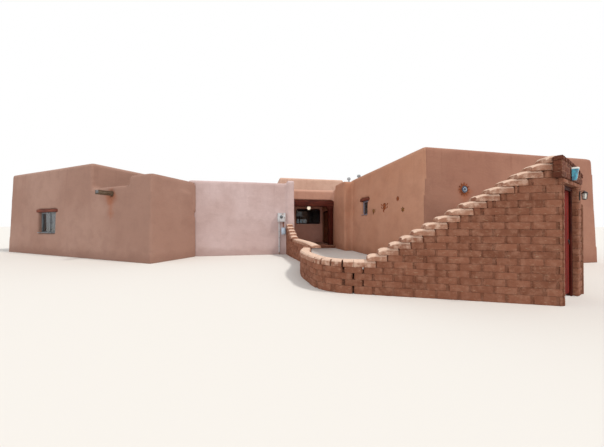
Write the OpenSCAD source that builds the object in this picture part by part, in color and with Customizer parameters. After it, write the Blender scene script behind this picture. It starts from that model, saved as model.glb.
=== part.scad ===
// Pueblo style adobe house: an east wing, a porch, a taller hall, a west room and an angled
// west wing, with a walled court in front of the porch.
// X runs along the fronts, Y runs into the house, Z is up. The origin lies on the ground in
// the front plane of the porch.

/* [Adobe walls] */
// Thickness of the adobe walls at the ground
wall_t = 360; // [320:10:420]
// Inward lean of every outer face, in millimetres for each metre of height
lean = 25; // [10:5:35]
// Radius of the rounded shoulder on top of a wall
shoulder_r = 110; // [60:10:140]
// Thickness of the roof decks
deck_t = 180; // [120:10:220]
// Height of a parapet above its roof deck
parapet_h = 360; // [300:10:420]
// Thickness of the floor slabs
floor_t = 150; // [100:10:200]
// Width of the doorways between the rooms
passage_w = 1100; // [900:50:1300]
// Height of the doorways between the rooms, from the ground
passage_h = 2060; // [1950:10:2090]

/* [East wing] */
// Length of the front of the east wing
east_w = 6950; // [6000:50:7500]
// Height of the east wing
east_h = 3660; // [3500:10:3800]
// Distance from the porch front to the front of the east wing
court_depth = 6800; // [6200:50:7400]
// Height of the east parapet above its roof deck
east_parapet_h = 520; // [480:10:600]
// Distance by which the back of the east wing stays behind that of the hall
east_setback = 700; // [500:50:1000]

/* [Porch] */
// Clear width between the entry pier and the porch wall
porch_w = 2715; // [2500:5:2900]
// Distance from the porch front to its back wall
porch_depth = 2370; // [2300:10:2600]
// Distance of the right end of the porch opening from the origin
porch_right = 1180; // [1100:10:1250]
// Depth of the step in the court wall beside the porch
jog_w = 380; // [370:10:450]
// Length of the buttress in front of the porch
buttress_run = 1680; // [1500:20:1900]
// How far the porch parapet lies under the top of the east wing
porch_drop = 340; // [260:10:400]
// How far the top of the buttress lies under the top of the east wing
buttress_drop = 110; // [60:10:140]
// Distance from the porch front to the back of the buttress
buttress_gap = 200; // [150:10:300]
// Height of the underside of the porch beam
beam_z = 2370; // [2340:10:2400]
// Height of the porch beam
beam_h = 350; // [300:10:380]
// Depth of the porch beam, front to back
beam_t = 360; // [340:10:400]
// Thickness of the porch parapet
porch_parapet_t = 260; // [220:10:280]
// Diameter of the round ceiling beams
viga_d = 180; // [140:10:200]
// Number of round ceiling beams
viga_count = 5; // [3:2:7]
// Thickness of the boards above the ceiling beams
porch_deck_t = 90; // [60:10:110]
// Width of the square porch post
post_w = 260; // [220:10:280]
// Clear distance from the porch post to the porch wall
post_gap = 33; // [20:1:60]
// Length by which the corbel reaches past the porch post
corbel_l = 120; // [60:10:200]
// Height of the corbel
corbel_h = 95; // [80:5:120]
// Thickness of the entry pier and the wall behind it
pier_t = 305; // [280:5:340]
// Distance from the porch front to the face of the entry pier
pier_run = 2520; // [2480:10:2600]

/* [Entry door] */
// Width of the doorway in the porch wall
door_w = 1120; // [1000:10:1120]
// Height of the doorway, from the ground
door_h = 2210; // [2160:10:2260]
// Width of the masonry between the doorway and the back wall of the porch
door_nib = 120; // [120:10:160]
// Width of the frame's timbers, seen from the front
frame_w = 60; // [50:5:70]
// Clearance around a door or gate leaf
leaf_gap = 5; // [5:0.5:8]
// Thickness of the door leaf
door_t = 48; // [40:1:55]

/* [Hall] */
// Distance from the hall's east face to the porch wall
hall_east = 1670; // [1500:10:1900]
// Depth of the hall, front to back
hall_depth = 5000; // [4600:50:5600]
// Height of the hall
hall_h = 4460; // [4300:10:4600]

/* [West room] */
// Distance from the entry pier to the corner where the angled wing begins
west_front_w = 3800; // [3600:50:4200]
// Distance from the porch front to the front of the west room
west_run = 2450; // [2400:10:2470]
// Height of the west room
west_h = 3200; // [3050:10:3250]
// Distance by which the back of the west room stays behind that of the hall
west_setback = 1100; // [900:50:1400]

/* [Angled wing] */
// Angle between the fronts of the angled wing and of the house
wing_turn = 32; // [29:0.5:34]
// Length of the tall part's front
tall_w = 6600; // [6300:10:7000]
// Length of the low part's front
low_w = 2060; // [1900:10:2200]
// Length of the raised part at the right end of the front
step_w = 1290; // [1200:10:1400]
// Distance from the front of the angled wing to the front of the west room, along its side
nose_run = 1970; // [1850:10:2100]
// Depth of the angled wing, front to back
wing_depth = 6000; // [5700:10:6200]
// Height of the tall part
tall_h = 3770; // [3650:10:3850]
// Height of the low part
low_h = 2760; // [2740:10:2800]
// Height of the raised part
step_h = 3100; // [3050:10:3150]
// Distance from the tall part to the middle of the wooden spout
spout_x = 1150; // [1000:10:1200]
// Length of the spout in front of the wall
spout_reach = 380; // [300:10:450]

/* [Windows] */
// Width of the slider in the back wall of the porch
slider_w = 1670; // [1500:10:1750]
// Height of the slider
slider_h = 1000; // [900:10:1050]
// Height of the slider's sill above the ground
slider_sill = 1385; // [1350:5:1400]
// Width of the small window in the court wall
court_win_w = 550; // [500:10:600]
// Height of the small window
court_win_h = 640; // [600:10:660]
// Height of the small window's sill above the ground
court_win_sill = 1760; // [1700:10:1800]
// Distance from the front of the east wing to the small window
court_win_from_front = 3590; // [3400:10:3700]
// Width of the plain windows
plain_win_w = 1370; // [1200:10:1450]
// Height of the plain windows
plain_win_h = 920; // [850:10:950]
// Height of a plain window's sill above the ground
plain_win_sill = 950; // [900:10:1000]
// Distance from the wing's left corner to its window
wing_win_x = 2670; // [2500:10:2900]
// Depth from the wall face at the ground to a window frame
win_setback = 150; // [140:5:170]
// Depth of a window frame, front to back
win_frame_t = 70; // [60:5:80]
// Width of a window frame's bars, seen from the front
win_bar = 55; // [45:5:60]
// Thickness of the window glass
glass_t = 6; // [5:1:8]
// Height of the wooden lintels
lintel_h = 130; // [110:10:160]
// Length by which a lintel rests on the wall at each side
lintel_bearing_l = 150; // [100:10:200]
// Distance by which a lintel stands in front of the wall
lintel_proud = 20; // [10:5:30]

/* [Garden wall] */
// Height of a course of adobe bricks with its joint
course_h = 120; // [115:1:125]
// Length of an adobe brick
brick_l = 356; // [350:1:360]
// Thickness of the garden wall
garden_t = 250; // [240:5:260]
// Height of the mud bed under the first course
bed_h = 30; // [20:5:40]
// Distance by which a coping brick stands out on each side
coping_out = 18; // [10:1:25]
// Length of each step where the wall rises to the gate
rise_tread = 200; // [190:1:205]
// Length of each step where the wall falls from the pier
fall_tread = 200; // [190:2:210]
// Number of courses in the lowest part
low_courses = 5; // [5:1:6]
// Number of courses where the wall leaves the pier
pier_courses = 11; // [10:1:12]
// Number of courses at the gate
gate_courses = 20; // [19:1:20]
// Length of the straight run from the pier to the first bend
run_a = 2080; // [2000:10:2200]
// Length of the straight run between the two bends of the S
run_b = 500; // [400:10:600]
// Length of the straight run before the corner
run_c = 550; // [500:10:600]
// Length of the straight run that rises to the gate
run_d = 3400; // [3350:10:3450]
// Radius of the first bend
bend_a_r = 3100; // [3000:50:3200]
// Radius of the second bend
bend_b_r = 2250; // [2200:50:2400]
// Radius of the corner
bend_c_r = 750; // [700:10:800]

/* [Gate] */
// Clear width of the gateway
gate_w = 900; // [850:10:950]
// Length of the level top between the last step and the gate
peak_w = 240; // [200:10:260]
// Height of the gateway
gate_h = 1990; // [1950:10:2000]
// Width of the right jamb
jamb_w = 300; // [280:10:340]
// Width of the left jamb in front of the end of the garden wall
jamb_left_w = 80; // [60:5:100]
// Distance by which the gate hood reaches past the garden wall on its left
hood_side_w = 170; // [120:10:200]
// Distance by which the gate hood stands in front of the jambs
hood_front = 25; // [15:5:40]
// Height of the gate hood's highest point
hood_h = 2520; // [2480:10:2560]
// Height by which the hood's left end stands above its right end
hood_fall = 170; // [150:5:200]
// Height of the hood's lower edge above the gateway
hood_rise = 70; // [50:5:90]
// Thickness of the gate leaf
gate_t = 44; // [38:1:50]
// Gap between the gate leaf and the ground
gate_lift = 60; // [40:5:80]
// Angle between the gateway and the fronts of the house
gate_turn = 20; // [17:0.5:23]
// Height of the wall that closes the court behind the gate, in courses
return_courses = 14; // [12:1:15]

/* [Fittings] */
// Radius of a hinge barrel
hinge_r = 9; // [8:0.5:11]
// Height of one half of a hinge barrel
hinge_h = 60; // [50:5:80]
// Diameter of the lamp's globe
globe_d = 210; // [180:5:230]
// Thickness of the sheet-metal ornaments at their middle
ornament_t = 12; // [8:1:16]
// Diameter of the sun ornament
sun_d = 420; // [380:10:450]
// Number of rays on the sun ornament
sun_rays = 12; // [8:1:16]
// Length of the larger lizard on the court wall
lizard_l = 380; // [340:10:420]
// Diameter of the two stars on the court wall
star_d = 156; // [140:2:180]
// How far the lamp's globe hangs under the ceiling
lamp_drop = 130; // [110:5:150]
// Width of the larger meter box
meter_w = 340; // [320:10:380]
// Height of the larger meter box
meter_h = 370; // [340:10:400]
// Height of the larger meter box above the ground
meter_z = 1450; // [1400:10:1500]
// How far the larger meter box stands out
meter_deep = 130; // [110:5:150]
// Diameter of a roof vent's pipe
vent_d = 110; // [100:5:130]
// Height of a roof vent above its deck
vent_h = 910; // [850:10:950]
// Height of the lantern beside the gate
lantern_h = 170; // [150:5:190]
// Height of the lantern's foot above the ground
lantern_z = 1760; // [1700:10:1800]
// Diameter of the glazed pocket on the gate's hood
pocket_d = 150; // [130:5:170]

/* [Hidden] */
$fn = 48;
SEAT = 0.3;
FAR = 30000;
TOP = 6000;
strap_t = 4;
// How far the two stops of a leaf stand out, and how wide they are
stop_t = 25;
stop_w = 15;
// How far the entry door and the gate stand behind their wall's face
door_setback = 40;
gate_setback = 70;
// Heights of a leaf's two hinges and length of their straps, as shares of the leaf
hinge_shares = [0.16, 0.8];
strap_share = 0.3;
// Distance from the slider to the porch's right wall
slider_gap = 120;
// How far the porch floor stands out in front of the porch
porch_step = 250;
// The lamp's distance behind the beam, and the height of its ceiling rose
lamp_in = 200;
rose_h = 30;
// The spout's width and depth, and the thickness of its boards
spout_w = 220;
spout_deep = 150;
spout_board = 38;
// Distance from the entry pier to the middle of the meter boxes, and width of the pipe
meter_from_pier = 280;
pipe_w = 48;
// Distance of the vents from the court face, and from each other
vent_in = 460;
vent_apart = 800;
// Wall of the glazed pocket, and its height above the foot of the hood
pocket_t = 10;
pocket_lift = 20;

porch_h = east_h - porch_drop;
buttress_h = east_h - buttress_drop;
east_x0 = porch_right + jog_w;
east_x1 = east_x0 + east_w;
east_y0 = -court_depth;
hall_x0 = porch_right - porch_w - pier_t;
hall_x1 = porch_right + hall_east;
hall_y0 = porch_depth;
hall_y1 = porch_depth + hall_depth;
east_y1 = hall_y1 - east_setback;
porch_left = porch_right - porch_w;
pier_x0 = porch_left - pier_t;
court_end_y = -buttress_run + wall_t;
west_y0 = -west_run;
west_y1 = hall_y1 - west_setback;
// Middle of the doorway between the west room and the low part of the wing
west_passage_y = 300;
west_corner_x = pier_x0 - west_front_w;
// The west room reaches a little past the wing's turned end, so that they meet in one corner
west_in = 40;
west_x0 = west_corner_x - wall_t / cos(wing_turn) - west_in;
low_end = tall_w + low_w;
wing_len = low_end + step_w;
door_y1 = porch_depth - door_nib;
door_y0 = door_y1 - door_w;
viga_z = beam_z + beam_h + viga_d / 2;
porch_deck_z = beam_z + beam_h + viga_d;
gate_wall_t = garden_t;

// Shared forms

// Points of an arc around [cx, cy], in steps of 22.5 degrees
function arc(cx, cy, r, a0, a1) =
  [for (i = [0 : 4]) let (a = a0 + (a1 - a0) * i / 4) [cx + r * cos(a), cy + r * sin(a)]];

// How far a face has leaned inward at height z
function leaned(z) = z * lean / 1000;

// A block from corner to corner
module block(x0, x1, y0, y1, z0, z1) {
  translate([x0, y0, z0]) cube([x1 - x0, y1 - y0, z1 - z0]);
}

// Outline of a battered block with round shoulders, seen along one of its sides
module battered_outline(a, b, h) {
  polygon(concat(
    [[a, 0], [b, 0]],
    arc(b - leaned(h) - shoulder_r, h - shoulder_r, shoulder_r, 0, 90),
    arc(a + leaned(h) + shoulder_r, h - shoulder_r, shoulder_r, 90, 180)
  ));
}

// A battered mass of adobe, solid, over the rectangle [x0, x1] by [y0, y1]
module mass(x0, x1, y0, y1, h) {
  intersection() {
    translate([0, y1 + 1, 0]) rotate([90, 0, 0])
      linear_extrude(y1 - y0 + 2) battered_outline(x0, x1, h);
    translate([x0 - 1, 0, 0]) rotate([90, 0, 90])
      linear_extrude(x1 - x0 + 2) battered_outline(y0, y1, h);
  }
}

// The solid masses that the walls are cut from
module east_mass() mass(east_x0, east_x1, east_y0, east_y1, east_h);
module hall_mass() mass(hall_x0, hall_x1, hall_y0, hall_y1, hall_h);
module west_mass() mass(west_x0, pier_x0 + FAR / 10, west_y0, west_y1, west_h);
module tall_mass() at_wing() mass(0, tall_w, 0, wing_depth, tall_h);
module step_mass() at_wing() mass(low_end, wing_len, 0, wing_depth, step_h);
module low_mass() at_wing() mass(tall_w - wall_t, low_end + wall_t, 0, wing_depth, low_h);

// The same tall and raised parts, deeper at both ends, for cutting what stands in line with them
module tall_cut() at_wing() mass(0, tall_w, -wall_t, wing_depth + wall_t, tall_h);
module step_cut() at_wing() mass(low_end, wing_len + wall_t, -wall_t, wing_depth + wall_t, step_h);

// The wing's frame: X along its front from the left corner, Y into the wing
module at_wing() {
  translate([west_corner_x, west_y0, 0]) rotate(-wing_turn)
    translate([-wing_len, -nose_run, 0]) children();
}

// A doorway through a wall, as a block for cutting, centred at [x, y]
module passage(x, y, along_x) {
  dx = along_x ? passage_w / 2 : wall_t;
  dy = along_x ? wall_t : passage_w / 2;
  block(x - dx, x + dx, y - dy, y + dy, floor_t, passage_h);
}

// Windows

// Places of the plain windows. Each place has X along the wall, and Y into it from its face
module at_plain_windows() {
  at_wing() translate([wing_win_x, 0, 0]) children();
  translate([(hall_x0 + hall_x1 + plain_win_w) / 2, hall_y1, 0]) rotate(180) children();
  translate([west_x0 + (pier_x0 - west_x0 + plain_win_w) / 2, west_y1, 0]) rotate(180) children();
  translate([east_x1, east_y0 + court_depth / 3, 0]) rotate(90) children();
  translate([east_x1, east_y0 + court_depth, 0]) rotate(90) children();
}

// Place of the slider, with X along the wall and Y into it
module at_slider() {
  translate([porch_right - slider_gap - slider_w, hall_y0, 0]) children();
}

// Place of the small court window, with X along the wall and Y into it
module at_court_window() {
  translate([east_x0, east_y0 + court_win_from_front + court_win_w, 0]) rotate(-90) children();
}

// The hole of a window, right through its wall
module window_hole(w, h, sill) {
  block(0, w, -wall_t, wall_t * 2, sill, sill + h);
}

// A frame of bars with one mullion, or none
module window_frame(w, h, sill, mullions) {
  pane_w = (w - win_bar * (2 + mullions)) / (1 + mullions);
  difference() {
    block(0, w, win_setback, win_setback + win_frame_t, sill, sill + h);
    for (i = [0 : mullions])
      let (x = win_bar + i * (pane_w + win_bar))
        block(x, x + pane_w, 0, wall_t, sill + win_bar, sill + h - win_bar);
  }
}

// The glass of a window, cut to the openings in its frame
module window_panes(w, h, sill, mullions) {
  pane_w = (w - win_bar * (2 + mullions)) / (1 + mullions);
  y = win_setback + (win_frame_t - glass_t) / 2;
  for (i = [0 : mullions])
    let (x = win_bar + i * (pane_w + win_bar))
      block(x, x + pane_w, y, y + glass_t, sill + win_bar, sill + h - win_bar);
}

// A wooden lintel over a window, resting on the wall at both sides
module lintel(w, head) {
  face = leaned(head) - lintel_proud;
  block(-lintel_bearing_l, w + lintel_bearing_l, face, wall_t, head, head + lintel_h);
}

module plain_cuts() {
  at_plain_windows() {
    window_hole(plain_win_w, plain_win_h, plain_win_sill);
    lintel(plain_win_w, plain_win_sill + plain_win_h);
  }
}

module window_lintels() {
  color([0.42, 0.2, 0.14]) {
    at_plain_windows() lintel(plain_win_w, plain_win_sill + plain_win_h);
    at_court_window() lintel(court_win_w, court_win_sill + court_win_h);
  }
}

module slider_frame() {
  color([0.15, 0.1, 0.08]) at_slider() window_frame(slider_w, slider_h, slider_sill, 1);
}

module court_window_frame() {
  color([0.75, 0.7, 0.62]) at_court_window()
    window_frame(court_win_w, court_win_h, court_win_sill, 0);
}

module plain_window_frames() {
  color([0.3, 0.18, 0.12]) at_plain_windows()
    window_frame(plain_win_w, plain_win_h, plain_win_sill, 1);
}

module window_glass() {
  color([0.35, 0.45, 0.5]) {
    at_slider() window_panes(slider_w, slider_h, slider_sill, 1);
    at_court_window() window_panes(court_win_w, court_win_h, court_win_sill, 0);
    at_plain_windows() window_panes(plain_win_w, plain_win_h, plain_win_sill, 1);
  }
}

// East wing

module east_front_wall() {
  color([0.62, 0.44, 0.38]) intersection() {
    east_mass();
    block(east_x0, east_x1, east_y0, east_y0 + wall_t, 0, TOP);
  }
}

module east_court_wall() {
  color([0.64, 0.45, 0.38]) difference() {
    intersection() {
      east_mass();
      block(east_x0, east_x0 + wall_t, east_y0 + wall_t, court_end_y, 0, TOP);
    }
    at_court_window() {
      window_hole(court_win_w, court_win_h, court_win_sill);
      lintel(court_win_w, court_win_sill + court_win_h);
    }
  }
}

module east_outer_wall() {
  color([0.62, 0.44, 0.38]) difference() {
    intersection() {
      east_mass();
      block(east_x1 - wall_t, east_x1, east_y0 + wall_t, east_y1 - wall_t, 0, TOP);
    }
    plain_cuts();
  }
}

module east_back_wall() {
  color([0.62, 0.44, 0.38]) difference() {
    intersection() {
      east_mass();
      block(hall_x1 - wall_t, east_x1, east_y1 - wall_t, east_y1, 0, TOP);
    }
    hall_mass();
  }
}

// Top line of the buttress: level with rounded ends, then down to the height of the porch parapet
module buttress_outline() {
  front = -buttress_run + leaned(buttress_h);
  polygon(concat(
    [[hall_y1, 0], [-buttress_run, 0]],
    arc(front + shoulder_r, buttress_h - shoulder_r, shoulder_r, 180, 90),
    arc(-buttress_gap - shoulder_r, buttress_h - shoulder_r, shoulder_r, 90, 0),
    [[-buttress_gap, porch_h], [hall_y1, porch_h]]
  ));
}

// The wall beside the porch, with its plumb face towards the porch
module porch_wall_mass() {
  intersection() {
    translate([porch_right, 0, 0]) rotate([90, 0, 90])
      linear_extrude(jog_w + leaned(buttress_h)) buttress_outline();
    union() {
      block(porch_right, porch_right + wall_t, -buttress_run, hall_y1, 0, TOP);
      block(porch_right, FAR, -buttress_run, court_end_y, 0, TOP);
    }
  }
}

module court_buttress() {
  color([0.64, 0.44, 0.36]) difference() {
    intersection() {
      porch_wall_mass();
      block(porch_right, FAR, -buttress_run, 0, 0, TOP);
    }
    east_mass_beside_court();
  }
}

// The part of the east mass that the court wall is cut from
module east_mass_beside_court() {
  intersection() {
    east_mass();
    block(east_x0, FAR, east_y0, court_end_y, 0, TOP);
  }
}

module porch_east_wall() {
  color([0.6, 0.42, 0.35]) intersection() {
    porch_wall_mass();
    block(porch_right, FAR, 0, door_y0, 0, TOP);
  }
}

module entry_door_head() {
  color([0.6, 0.42, 0.35]) difference() {
    intersection() {
      porch_wall_mass();
      block(porch_right, FAR, door_y0, hall_y0 + wall_t, 0, TOP);
    }
    block(0, FAR, door_y0 - 1, door_y1, -1, door_h);
    hall_mass();
  }
}

// Leaves in frames

// Local frames: X across the opening from the hinge side, Y inward from the wall's face
module at_entry_door() {
  translate([porch_right, door_y1, 0]) rotate(-90) children();
}

// A timber frame with a stop for the leaf, w wide, from z0 to z1
module leaf_frame(w, z0, z1, setback, leaf_t) {
  inner = setback + stop_t + leaf_gap + leaf_t;
  difference() {
    block(0, w, setback, inner, z0, z1);
    block(frame_w + stop_w, w - frame_w - stop_w, 0, inner + 1, z0 - 1, z1 - frame_w - stop_w);
    block(frame_w, w - frame_w, setback + stop_t, inner + 1, z0 - 1, z1 - frame_w);
  }
  for (z = hinge_heights(z0, z1)) frame_hinge(inner, z);
}

// Heights of the two hinges on a leaf
function hinge_heights(z0, z1) = [for (share = hinge_shares) z0 + (z1 - z0) * share];

// The hinge half on the frame, under the leaf's half
module frame_hinge(face, z) {
  axis_x = frame_w + leaf_gap / 2;
  translate([axis_x, face + hinge_r, z]) cylinder(r = hinge_r, h = hinge_h);
  block(frame_w / 4, axis_x, face, face + strap_t, z, z + hinge_h);
}

// A leaf and its hinge halves, closed
module leaf(w, z0, z1, lift, setback, leaf_t) {
  face = setback + stop_t + leaf_gap;
  axis_x = frame_w + leaf_gap / 2;
  block(frame_w + leaf_gap, w - frame_w - leaf_gap, face, face + leaf_t, z0 + lift,
        z1 - frame_w - leaf_gap);
  for (z = hinge_heights(z0, z1)) {
    translate([axis_x, face + leaf_t + hinge_r, z + hinge_h + SEAT])
      cylinder(r = hinge_r, h = hinge_h);
    block(axis_x, axis_x + w * strap_share, face + leaf_t, face + leaf_t + strap_t,
          z + hinge_h + SEAT, z + hinge_h * 2 + SEAT);
  }
}

module entry_door_frame() {
  color([0.25, 0.14, 0.1]) at_entry_door() leaf_frame(door_w, floor_t, door_h, door_setback, door_t);
}

module entry_door() {
  color([0.2, 0.12, 0.09]) at_entry_door()
    leaf(door_w, floor_t, door_h, leaf_gap, door_setback, door_t);
}

// Porch

// What lies between the entry pier and the porch wall, and in front of the hall
module porch_box(y0, z0, z1) {
  difference() {
    block(porch_left, porch_right, y0, hall_y0 + wall_t / 2, z0, z1);
    hall_mass();
  }
}

module portal_parapet() {
  color([0.68, 0.5, 0.43]) translate([porch_left, 0, 0]) rotate([90, 0, 90])
    linear_extrude(porch_w) polygon(concat(
      [[0, beam_z + beam_h], [porch_parapet_t, beam_z + beam_h], [porch_parapet_t, porch_h]],
      arc(shoulder_r, porch_h - shoulder_r, shoulder_r, 90, 180)
    ));
}

module portal_beam() {
  color([0.36, 0.17, 0.12])
    block(porch_left, porch_right, 0, beam_t, beam_z, beam_z + beam_h);
}

module portal_post() {
  x1 = porch_right - post_gap;
  color([0.2, 0.11, 0.09])
    block(x1 - post_w, x1, (beam_t - post_w) / 2, (beam_t + post_w) / 2, floor_t,
          beam_z - corbel_h);
}

// A corbel with a quarter round under its free end
module portal_corbel() {
  x1 = porch_right - post_gap;
  x0 = x1 - post_w - corbel_l;
  r = min(corbel_l, corbel_h) * 0.8;
  color([0.28, 0.13, 0.1]) translate([0, (beam_t + post_w) / 2, beam_z - corbel_h])
    rotate([90, 0, 0]) linear_extrude(post_w) difference() {
      translate([x0, 0]) square([x1 - x0, corbel_h]);
      translate([x0, 0]) circle(r = r);
    }
}

module portal_vigas() {
  pitch = porch_w / viga_count;
  color([0.3, 0.15, 0.11]) difference() {
    for (i = [0 : viga_count - 1])
      translate([porch_left + pitch * (i + 0.5), porch_parapet_t, viga_z])
        rotate([-90, 0, 0]) cylinder(d = viga_d, h = porch_depth);
    hall_mass();
  }
}

module portal_deck() {
  color([0.4, 0.24, 0.17])
    porch_box(porch_parapet_t, porch_deck_z, porch_deck_z + porch_deck_t);
}

module porch_floor() {
  color([0.55, 0.4, 0.34]) porch_box(-porch_step, 0, floor_t);
}

// A globe on a short stem under the middle ceiling beam
module porch_lamp() {
  x = porch_left + porch_w / 2;
  top = beam_z + beam_h;
  globe_z = top - lamp_drop - globe_d / 2;
  collar_z = globe_z + globe_d * 0.35;
  collar_h = globe_d * 0.36;
  stem_z = globe_z + globe_d / 2;
  color([0.9, 0.88, 0.82]) translate([x, beam_t + lamp_in, 0]) {
    translate([0, 0, top - rose_h]) cylinder(d = globe_d * 0.7, h = rose_h);
    translate([0, 0, stem_z - rose_h]) cylinder(d = rose_h, h = top - stem_z);
    translate([0, 0, collar_z]) cylinder(r1 = globe_d * 0.4, r2 = globe_d * 0.19, h = collar_h);
    translate([0, 0, globe_z]) sphere(d = globe_d);
  }
}

// Hall

module hall_wall(x0, x1, y0, y1) {
  intersection() {
    hall_mass();
    block(x0, x1, y0, y1, 0, TOP);
  }
}

module hall_front_wall() {
  color([0.8, 0.64, 0.56]) difference() {
    hall_wall(hall_x0, hall_x1, hall_y0, hall_y0 + wall_t);
    at_slider() window_hole(slider_w, slider_h, slider_sill);
  }
}

module hall_west_wall() {
  color([0.8, 0.64, 0.56]) difference() {
    hall_wall(hall_x0, hall_x0 + wall_t, hall_y0 + wall_t, hall_y1 - wall_t);
    passage(hall_x0 + wall_t / 2, hall_y0 + hall_depth / 3, false);
  }
}

module hall_east_wall() {
  color([0.8, 0.64, 0.56]) difference() {
    hall_wall(hall_x1 - wall_t, hall_x1, hall_y0 + wall_t, hall_y1 - wall_t);
    passage(hall_x1 - wall_t / 2, hall_y0 + hall_depth / 3, false);
  }
}

module hall_back_wall() {
  color([0.8, 0.64, 0.56]) difference() {
    hall_wall(hall_x0, hall_x1, hall_y1 - wall_t, hall_y1);
    plain_cuts();
  }
}

// West room

module west_wall(x0, x1, y0, y1) {
  intersection() {
    west_mass();
    block(x0, x1, y0, y1, 0, TOP);
  }
}

module west_front_wall() {
  color([0.7, 0.58, 0.54]) west_wall(west_x0, pier_x0, west_y0, west_y0 + wall_t);
}

module west_outer_wall() {
  color([0.7, 0.58, 0.54]) difference() {
    west_wall(west_x0, west_x0 + wall_t, west_y0 + wall_t, west_y1 - wall_t);
    passage(west_x0 + wall_t / 2, west_passage_y, false);
  }
}

module west_back_wall() {
  color([0.7, 0.58, 0.54]) difference() {
    west_wall(west_x0, hall_x0 + wall_t, west_y1 - wall_t, west_y1);
    hall_mass();
    plain_cuts();
  }
}

// The wall from the entry pier back to the hall, with a rounded and leaning front end
module entry_pier() {
  end_y = -pier_run;
  color([0.8, 0.72, 0.7]) difference() {
    translate([pier_x0, 0, 0]) rotate([90, 0, 90]) linear_extrude(pier_t)
      polygon(concat(
        [[hall_y0 + wall_t, 0], [end_y, 0]],
        arc(end_y + leaned(porch_h) + shoulder_r, porch_h - shoulder_r, shoulder_r, 180, 90),
        [[hall_y0 + wall_t, porch_h]]
      ));
    hall_mass();
  }
}

// Angled wing

module wing_front_wall() {
  color([0.69, 0.53, 0.46]) difference() {
    intersection() {
      tall_mass();
      at_wing() block(0, tall_w, 0, wall_t, 0, TOP);
    }
    plain_cuts();
  }
}

module wing_end_wall() {
  color([0.69, 0.53, 0.46]) intersection() {
    tall_mass();
    at_wing() block(0, wall_t, wall_t, wing_depth - wall_t, 0, TOP);
  }
}

module wing_back_wall() {
  color([0.69, 0.53, 0.46]) difference() {
    intersection() {
      union() {
        tall_mass();
        low_mass();
      }
      at_wing() block(0, low_end, wing_depth - wall_t, wing_depth, 0, TOP);
    }
    west_mass();
  }
}

module wing_party_wall() {
  color([0.75, 0.6, 0.53]) difference() {
    intersection() {
      tall_mass();
      at_wing() block(tall_w - wall_t, tall_w, wall_t, wing_depth - wall_t, 0, TOP);
    }
    at_wing() passage(tall_w - wall_t / 2, wing_depth / 2, false);
    west_mass();
  }
}

module low_front_wall() {
  color([0.71, 0.56, 0.52]) difference() {
    intersection() {
      low_mass();
      at_wing() block(tall_w - wall_t, low_end + wall_t, 0, wall_t, 0, TOP);
    }
    tall_cut();
    step_cut();
    at_spout() spout_solid(wall_t * 2);
  }
}

module step_front_wall() {
  color([0.71, 0.56, 0.52]) intersection() {
    step_mass();
    at_wing() block(low_end, wing_len, 0, wall_t, 0, TOP);
  }
}

module step_side_wall() {
  color([0.71, 0.56, 0.52]) difference() {
    intersection() {
      step_mass();
      at_wing() block(wing_len - wall_t, wing_len, wall_t, wing_depth, 0, TOP);
    }
    west_mass();
  }
}

// The wooden spout that drains the low roof

module at_spout() {
  at_wing() translate([tall_w + spout_x, 0, low_h - parapet_h]) children();
}

module spout_solid(end) block(-spout_w / 2, spout_w / 2, -spout_reach, end, 0, spout_deep);
module spout_channel() {
  half = spout_w / 2 - spout_board;
  block(-half, half, -FAR, FAR, spout_board, spout_deep);
}

module canale() {
  color([0.35, 0.22, 0.16]) difference() {
    at_spout() spout_solid(wall_t);
    at_spout() spout_channel();
  }
}

// Roof decks and floors

module east_slab(z0, z1) {
  inner = east_x1 - wall_t;
  difference() {
    union() {
      block(east_x0 + wall_t, inner, east_y0 + wall_t, east_y1 - wall_t, z0, z1);
      block(porch_right + wall_t, inner, court_end_y, east_y1 - wall_t, z0, z1);
    }
    hall_mass();
    block(0, hall_x1, hall_y0 + wall_t / 2, FAR, z0, z1);
  }
}

module hall_slab(z0, z1) {
  block(hall_x0 + wall_t, hall_x1 - wall_t, hall_y0 + wall_t, hall_y1 - wall_t, z0, z1);
}

module west_slab(z0, z1) {
  difference() {
    union() {
      block(west_x0 + wall_t, pier_x0, west_y0 + wall_t, west_y1 - wall_t, z0, z1);
      block(west_x0 + wall_t, hall_x0 + wall_t / 2, hall_y0 + wall_t / 2, west_y1 - wall_t, z0, z1);
    }
    hall_mass();
    entry_pier();
  }
}

module tall_slab(z0, z1) {
  difference() {
    at_wing() block(wall_t, tall_w - wall_t, wall_t, wing_depth - wall_t, z0, z1);
    west_mass();
  }
}

module low_slab(z0, z1) {
  difference() {
    at_wing() block(tall_w - wall_t / 2, wing_len - wall_t, wall_t, wing_depth - wall_t, z0, z1);
    tall_cut();
    west_mass();
  }
}

module roof_decks() {
  color([0.55, 0.52, 0.48]) {
    east_slab(east_h - east_parapet_h - deck_t, east_h - east_parapet_h);
    hall_slab(hall_h - parapet_h - deck_t, hall_h - parapet_h);
    west_slab(west_h - parapet_h - deck_t, west_h - parapet_h);
    tall_slab(tall_h - parapet_h - deck_t, tall_h - parapet_h);
    low_slab(low_h - parapet_h - deck_t, low_h - parapet_h);
  }
}

module room_floors() {
  color([0.5, 0.38, 0.32]) {
    east_slab(0, floor_t);
    hall_slab(0, floor_t);
    west_slab(0, floor_t);
    tall_slab(0, floor_t);
    low_slab(0, floor_t);
  }
}

// Fittings on the house

// A box on the meter wall, from its face outward
module on_meter_wall(x0, x1, z0, z1, out) {
  difference() {
    block(x0, x1, west_y0 - out, west_y0 + wall_t / 2, z0, z1);
    west_mass();
  }
}

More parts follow.
